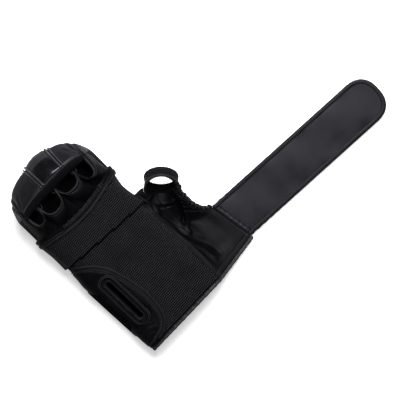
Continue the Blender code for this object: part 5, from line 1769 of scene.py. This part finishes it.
def strap_tip(turn, inset):
    """Length, and width from side to side, of the strap's rounded end, inside its edge by inset."""
    straight = STRAP_LENGTH - STRAP_END_DEPTH
    length = straight + (STRAP_END_DEPTH - inset) * np.abs(np.cos(turn)) ** STRAP_TIP_POWER
    return length, (STRAP_WIDTH / 2 - inset) * power(np.sin(turn), STRAP_TIP_POWER)


def strap_outline(inset, gap):
    """Outline of the strap inside its edge by inset, from its root round the tip and back to its root."""
    half = STRAP_WIDTH / 2 - inset
    straight = STRAP_LENGTH - STRAP_END_DEPTH
    tip_length, tip_width = strap_tip(np.linspace(-math.pi / 2, math.pi / 2, 260), inset)
    share = np.linspace(0, 1, 40)[:-1]
    lower, upper = strap_root(-half, gap), strap_root(half, gap)
    near, far = lower + (straight - lower) * share, upper + (straight - upper) * share
    length = np.concatenate([near, tip_length, far[::-1]])
    width = np.concatenate([np.full(len(share), -half), tip_width, np.full(len(share), half)])
    return length, width


def make_strap():
    """Strap's leather, padded a little and slightly uneven."""
    inside = STRAP_BINDING_WIDTH - 0.0006
    end, width = strap_tip(np.linspace(-math.pi / 2, math.pi / 2, 60), inside)
    share = dense(STRAP_LENGTH, 0.0008, 0.0018, 0.010)
    start = strap_root(width, 0.0)
    length = start[None, :] + (end - start)[None, :] * share[:, None]
    across = np.broadcast_to(width[None, :], length.shape)
    from_middle = across / (STRAP_WIDTH / 2 - inside)
    wave = 0.0005 * np.sin(length * 2 * math.pi / 0.085 + across * 30)
    wave = wave + 0.0003 * np.sin(length * 2 * math.pi / 0.034 - across * 70)
    wave = wave * (1 - from_middle ** 4) + 0.0005 * (1 - from_middle ** 2)
    top = strap_point(length, across, STRAP_TOP + wave)
    piece = cloth_wall("strap_leather_body", top, strap_point(length, across, STRAP_SEAT), [STRAP_LEATHER])
    declare(piece, "strap_leather", "strap")


def make_strap_binding():
    """Folded binding round the strap, with a sewn groove, ruffled near the strap's root."""
    length, width = strap_outline(STRAP_BINDING_WIDTH / 2, 3 * CLEARANCE)
    path = even(strap_point(length, width, STRAP_BINDING_HEIGHT / 2), STRAP_STEP)
    run = np.arange(len(path)) * STRAP_STEP
    out = np.cross(unit(np.gradient(path, axis=0)), np.array([0.0, 0.0, 1.0]))
    section = soft_box(STRAP_BINDING_WIDTH, STRAP_BINDING_HEIGHT, 34, 0.62)
    inward = section[:, 0]
    top_side = (section[:, 1] > 0).astype(float)
    drop = 0.0021 * bump(inward, -0.0017, 0.0008) + 0.0006 * smooth((-inward - 0.0016) / 0.0012)
    shape = np.broadcast_to(section, (len(path), *section.shape)).copy()
    shape[..., 1] -= drop * top_side
    near_root = np.exp(-np.minimum(run, run[-1] - run) / 0.035)
    ruffle = 0.00065 * np.sin(run * 2 * math.pi / 0.0052 + 1.5 * np.sin(run * 90)) * (0.12 + near_root)
    shape[..., 1] += ruffle[:, None] * top_side
    shape[..., 0] += (0.0004 * np.sin(run * 2 * math.pi / 0.011) * near_root)[:, None] * (inward > 0)
    rings = rings_along(path, out, shape)
    # Outer top edge of the binding painted lighter: painted highlight.
    wear_and_highlight = 0.75 * bump(inward, 0.0010, 0.0016) * top_side
    declare(tube("strap_folded_binding", rings, BINDING_LEATHER, wear_and_highlight), "binding", "strap_binding")
    groove = int(np.argmin(np.abs(inward + 0.0017) + 1 - top_side))
    stitch("strap", rings[:, groove] + np.array([0, 0, 0.0001]), (0, 0, 1), 0.0028)


def make_strap_seam():
    """Hem over the strap's root, where it is sewn to the thumb panel."""
    half = STRAP_WIDTH / 2 - STRAP_BINDING_WIDTH
    width = np.linspace(-half, half, 70)[None, :]
    across = np.linspace(0.0006, 0.0068, 22)[:, None]
    rise = 0.0005 + 0.0007 * smooth((across - 0.0006) / 0.0012) * (1 - smooth((across - 0.0056) / 0.0010))
    rise = rise - 0.0005 * bump(across, 0.0045, 0.0005) + 0.00015 * np.sin(width * 900)
    foot = STRAP_TOP + 0.0004
    upper = strap_point(strap_root(width, across), width, foot + rise)
    lower = strap_point(strap_root(width, across), width, STRAP_TOP)
    # Crest of the hem painted lighter: partly rubbed wear, partly painted highlight.
    piece = cloth_wall(
        "strap_seam_hem", upper, lower, [BINDING_LEATHER], wear_and_highlight=0.5 * bump(across, 0.0022, 0.0012))
    declare(piece, "binding", "strap_seam")
    stitch("strap", strap_point(strap_root(width[0], 0.0045), width[0], foot + 0.0009), (0, 0, 1))


BACK_FIBRES = 3400
EDGE_FIBRES = 1500


def make_loop_tufts():
    """Pile on the loop patch at the back of the wrist and round the little finger's edge."""
    random = np.random.default_rng(7)
    station = random.uniform(1.24, 1.94, BACK_FIBRES)
    across = np.where(
        random.random(BACK_FIBRES) < 0.55, -1 + 0.35 * random.random(BACK_FIBRES) ** 2,
        random.uniform(-0.7, 0.5, BACK_FIBRES))
    base = pad_point(station, across, pad_skin(across))
    along = pad_point(station, across + 0.004, pad_skin(across + 0.004)) - base
    out = unit(np.stack([-np.abs(along[:, 2]), 0 * along[:, 0], -np.abs(along[:, 0])], -1))
    lean = unit(out + 0.7 * random.normal(size=out.shape))
    places = base + out * (PATCH_WALL + 0.0001)
    places[:, 2] = np.maximum(places[:, 2], 0.0005)
    y = random.uniform(PILE_LOW_Y + 0.004, PILE_HIGH_Y - 0.005, EDGE_FIBRES)
    edge = pile_edge_angle(y)
    turn = edge + (math.pi - edge) * random.random(EDGE_FIBRES) ** 0.8
    places = np.concatenate([places, palm_point(turn, y, LAP_LOW + 0.0002)])
    lean = np.concatenate([lean, unit(palm_normal(turn, y) + 0.7 * random.normal(size=(EDGE_FIBRES, 3)))])
    out = random.normal(size=places.shape)
    sow("loop_pile_fibres", places, lean, out, FIBRE_BAR, LOOP_PILE, "loop_pile")


make_guard()
make_lining()
make_knuckle_panel()
make_band()
make_gather_tape()
make_loops()
make_fold_curls()
make_palm()
make_reinforcing_panel()
make_panel_welt()
make_slot_ring()
make_side_strip()
make_thumb_ring()
make_thumb_tab()
make_thumb_panel()
make_wrist_binding()
make_strap()
make_strap_binding()
make_strap_seam()
make_loop_tufts()
sew_all()

# Cloth and leather as cut, in metres, with the area where it isn't a rectangle.
Sheet = namedtuple("Sheet", "width length area held under sewn")

for node, finish in (("loop_patch", LOOP_PILE), ("hook_tape", HOOK_TAPE)):
    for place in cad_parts[node].material_slots:
        place.material = finish


# The stage: a pale floor, soft light and a camera high above the glove, turned as in the photograph.


FLOOR_REACH = 6.0
FLOOR_GLOW = 0.42
ROOM_LIGHT = 0.14
LIT_POINT = (0.09, 0.03, 0.02)
Light = namedtuple("Light", "place width energy")
LIGHTS = {
    "overhead_light": Light(place=(0.66, 0.56, 1.30), width=1.15, energy=50.0),
    "side_light": Light(place=(1.4, 0.1, 0.8), width=0.5, energy=2.5),
    "fill_light": Light(place=(-0.9, -0.8, 0.75), width=0.9, energy=3.5),
}


def make_floor():
    """Pale floor that the camera sees nearly white, and that gives little light back to the leather."""
    corners = [(x * FLOOR_REACH, y * FLOOR_REACH, 0) for x, y in ((-1, -1), (1, -1), (1, 1), (-1, 1))]
    mesh = bpy.data.meshes.new("floor")
    mesh.from_pydata(corners, [], [(0, 1, 2, 3)])
    paint = bpy.data.materials.new("pale_floor")
    paint.use_nodes = True
    tree = paint.node_tree
    shader = tree.nodes["Principled BSDF"]
    seen = add_node(tree, "ShaderNodeLightPath").outputs["Is Camera Ray"]
    colour = blend(tree, seen, (0.34, 0.34, 0.35), (0.92, 0.92, 0.92))
    tree.links.new(colour, shader.inputs["Base Color"])
    tree.links.new(maths(tree, "MULTIPLY", seen, FLOOR_GLOW), shader.inputs["Emission Strength"])
    shader.inputs["Emission Color"].default_value = (1.0, 1.0, 1.0, 1.0)
    shader.inputs["Roughness"].default_value = 1.0
    shader.inputs["Specular IOR Level"].default_value = 0.0
    mesh.materials.append(paint)
    floor = bpy.data.objects.new("floor", mesh)
    bpy.context.scene.collection.objects.link(floor)


def make_lights():
    world = bpy.data.worlds.new("soft_room")
    world.use_nodes = True
    background = world.node_tree.nodes["Background"]
    background.inputs["Color"].default_value = (1.0, 1.0, 1.0, 1)
    background.inputs["Strength"].default_value = ROOM_LIGHT
    bpy.context.scene.world = world
    for name, light in LIGHTS.items():
        lamp = bpy.data.lights.new(name, "AREA")
        lamp.shape, lamp.size, lamp.energy = "DISK", light.width, light.energy
        holder = bpy.data.objects.new(name, lamp)
        holder.location = light.place
        way = np.array(LIT_POINT) - np.array(light.place)
        flat = math.hypot(way[0], way[1])
        holder.rotation_euler = (math.atan2(flat, -way[2]), 0, math.atan2(way[0], -way[1]) + math.pi)
        holder.visible_camera = False
        bpy.context.scene.collection.objects.link(holder)


def make_camera():
    """Camera straight above the glove, far away, turned so that the strap points up and right."""
    view = bpy.data.cameras.new("photo_camera")
    view.lens, view.sensor_width, view.clip_end = 720.0, 36.0, 100.0
    camera = bpy.data.objects.new("photo_camera", view)
    camera.location = (0.110, 0.004, 10.0)
    camera.rotation_euler = (0.0, 0.0, math.radians(-46.4))
    bpy.context.scene.collection.objects.link(camera)
    bpy.context.scene.camera = camera
    bpy.context.scene.view_settings.view_transform = "Standard"


make_floor()
make_lights()
make_camera()
bpy.context.view_layer.update()
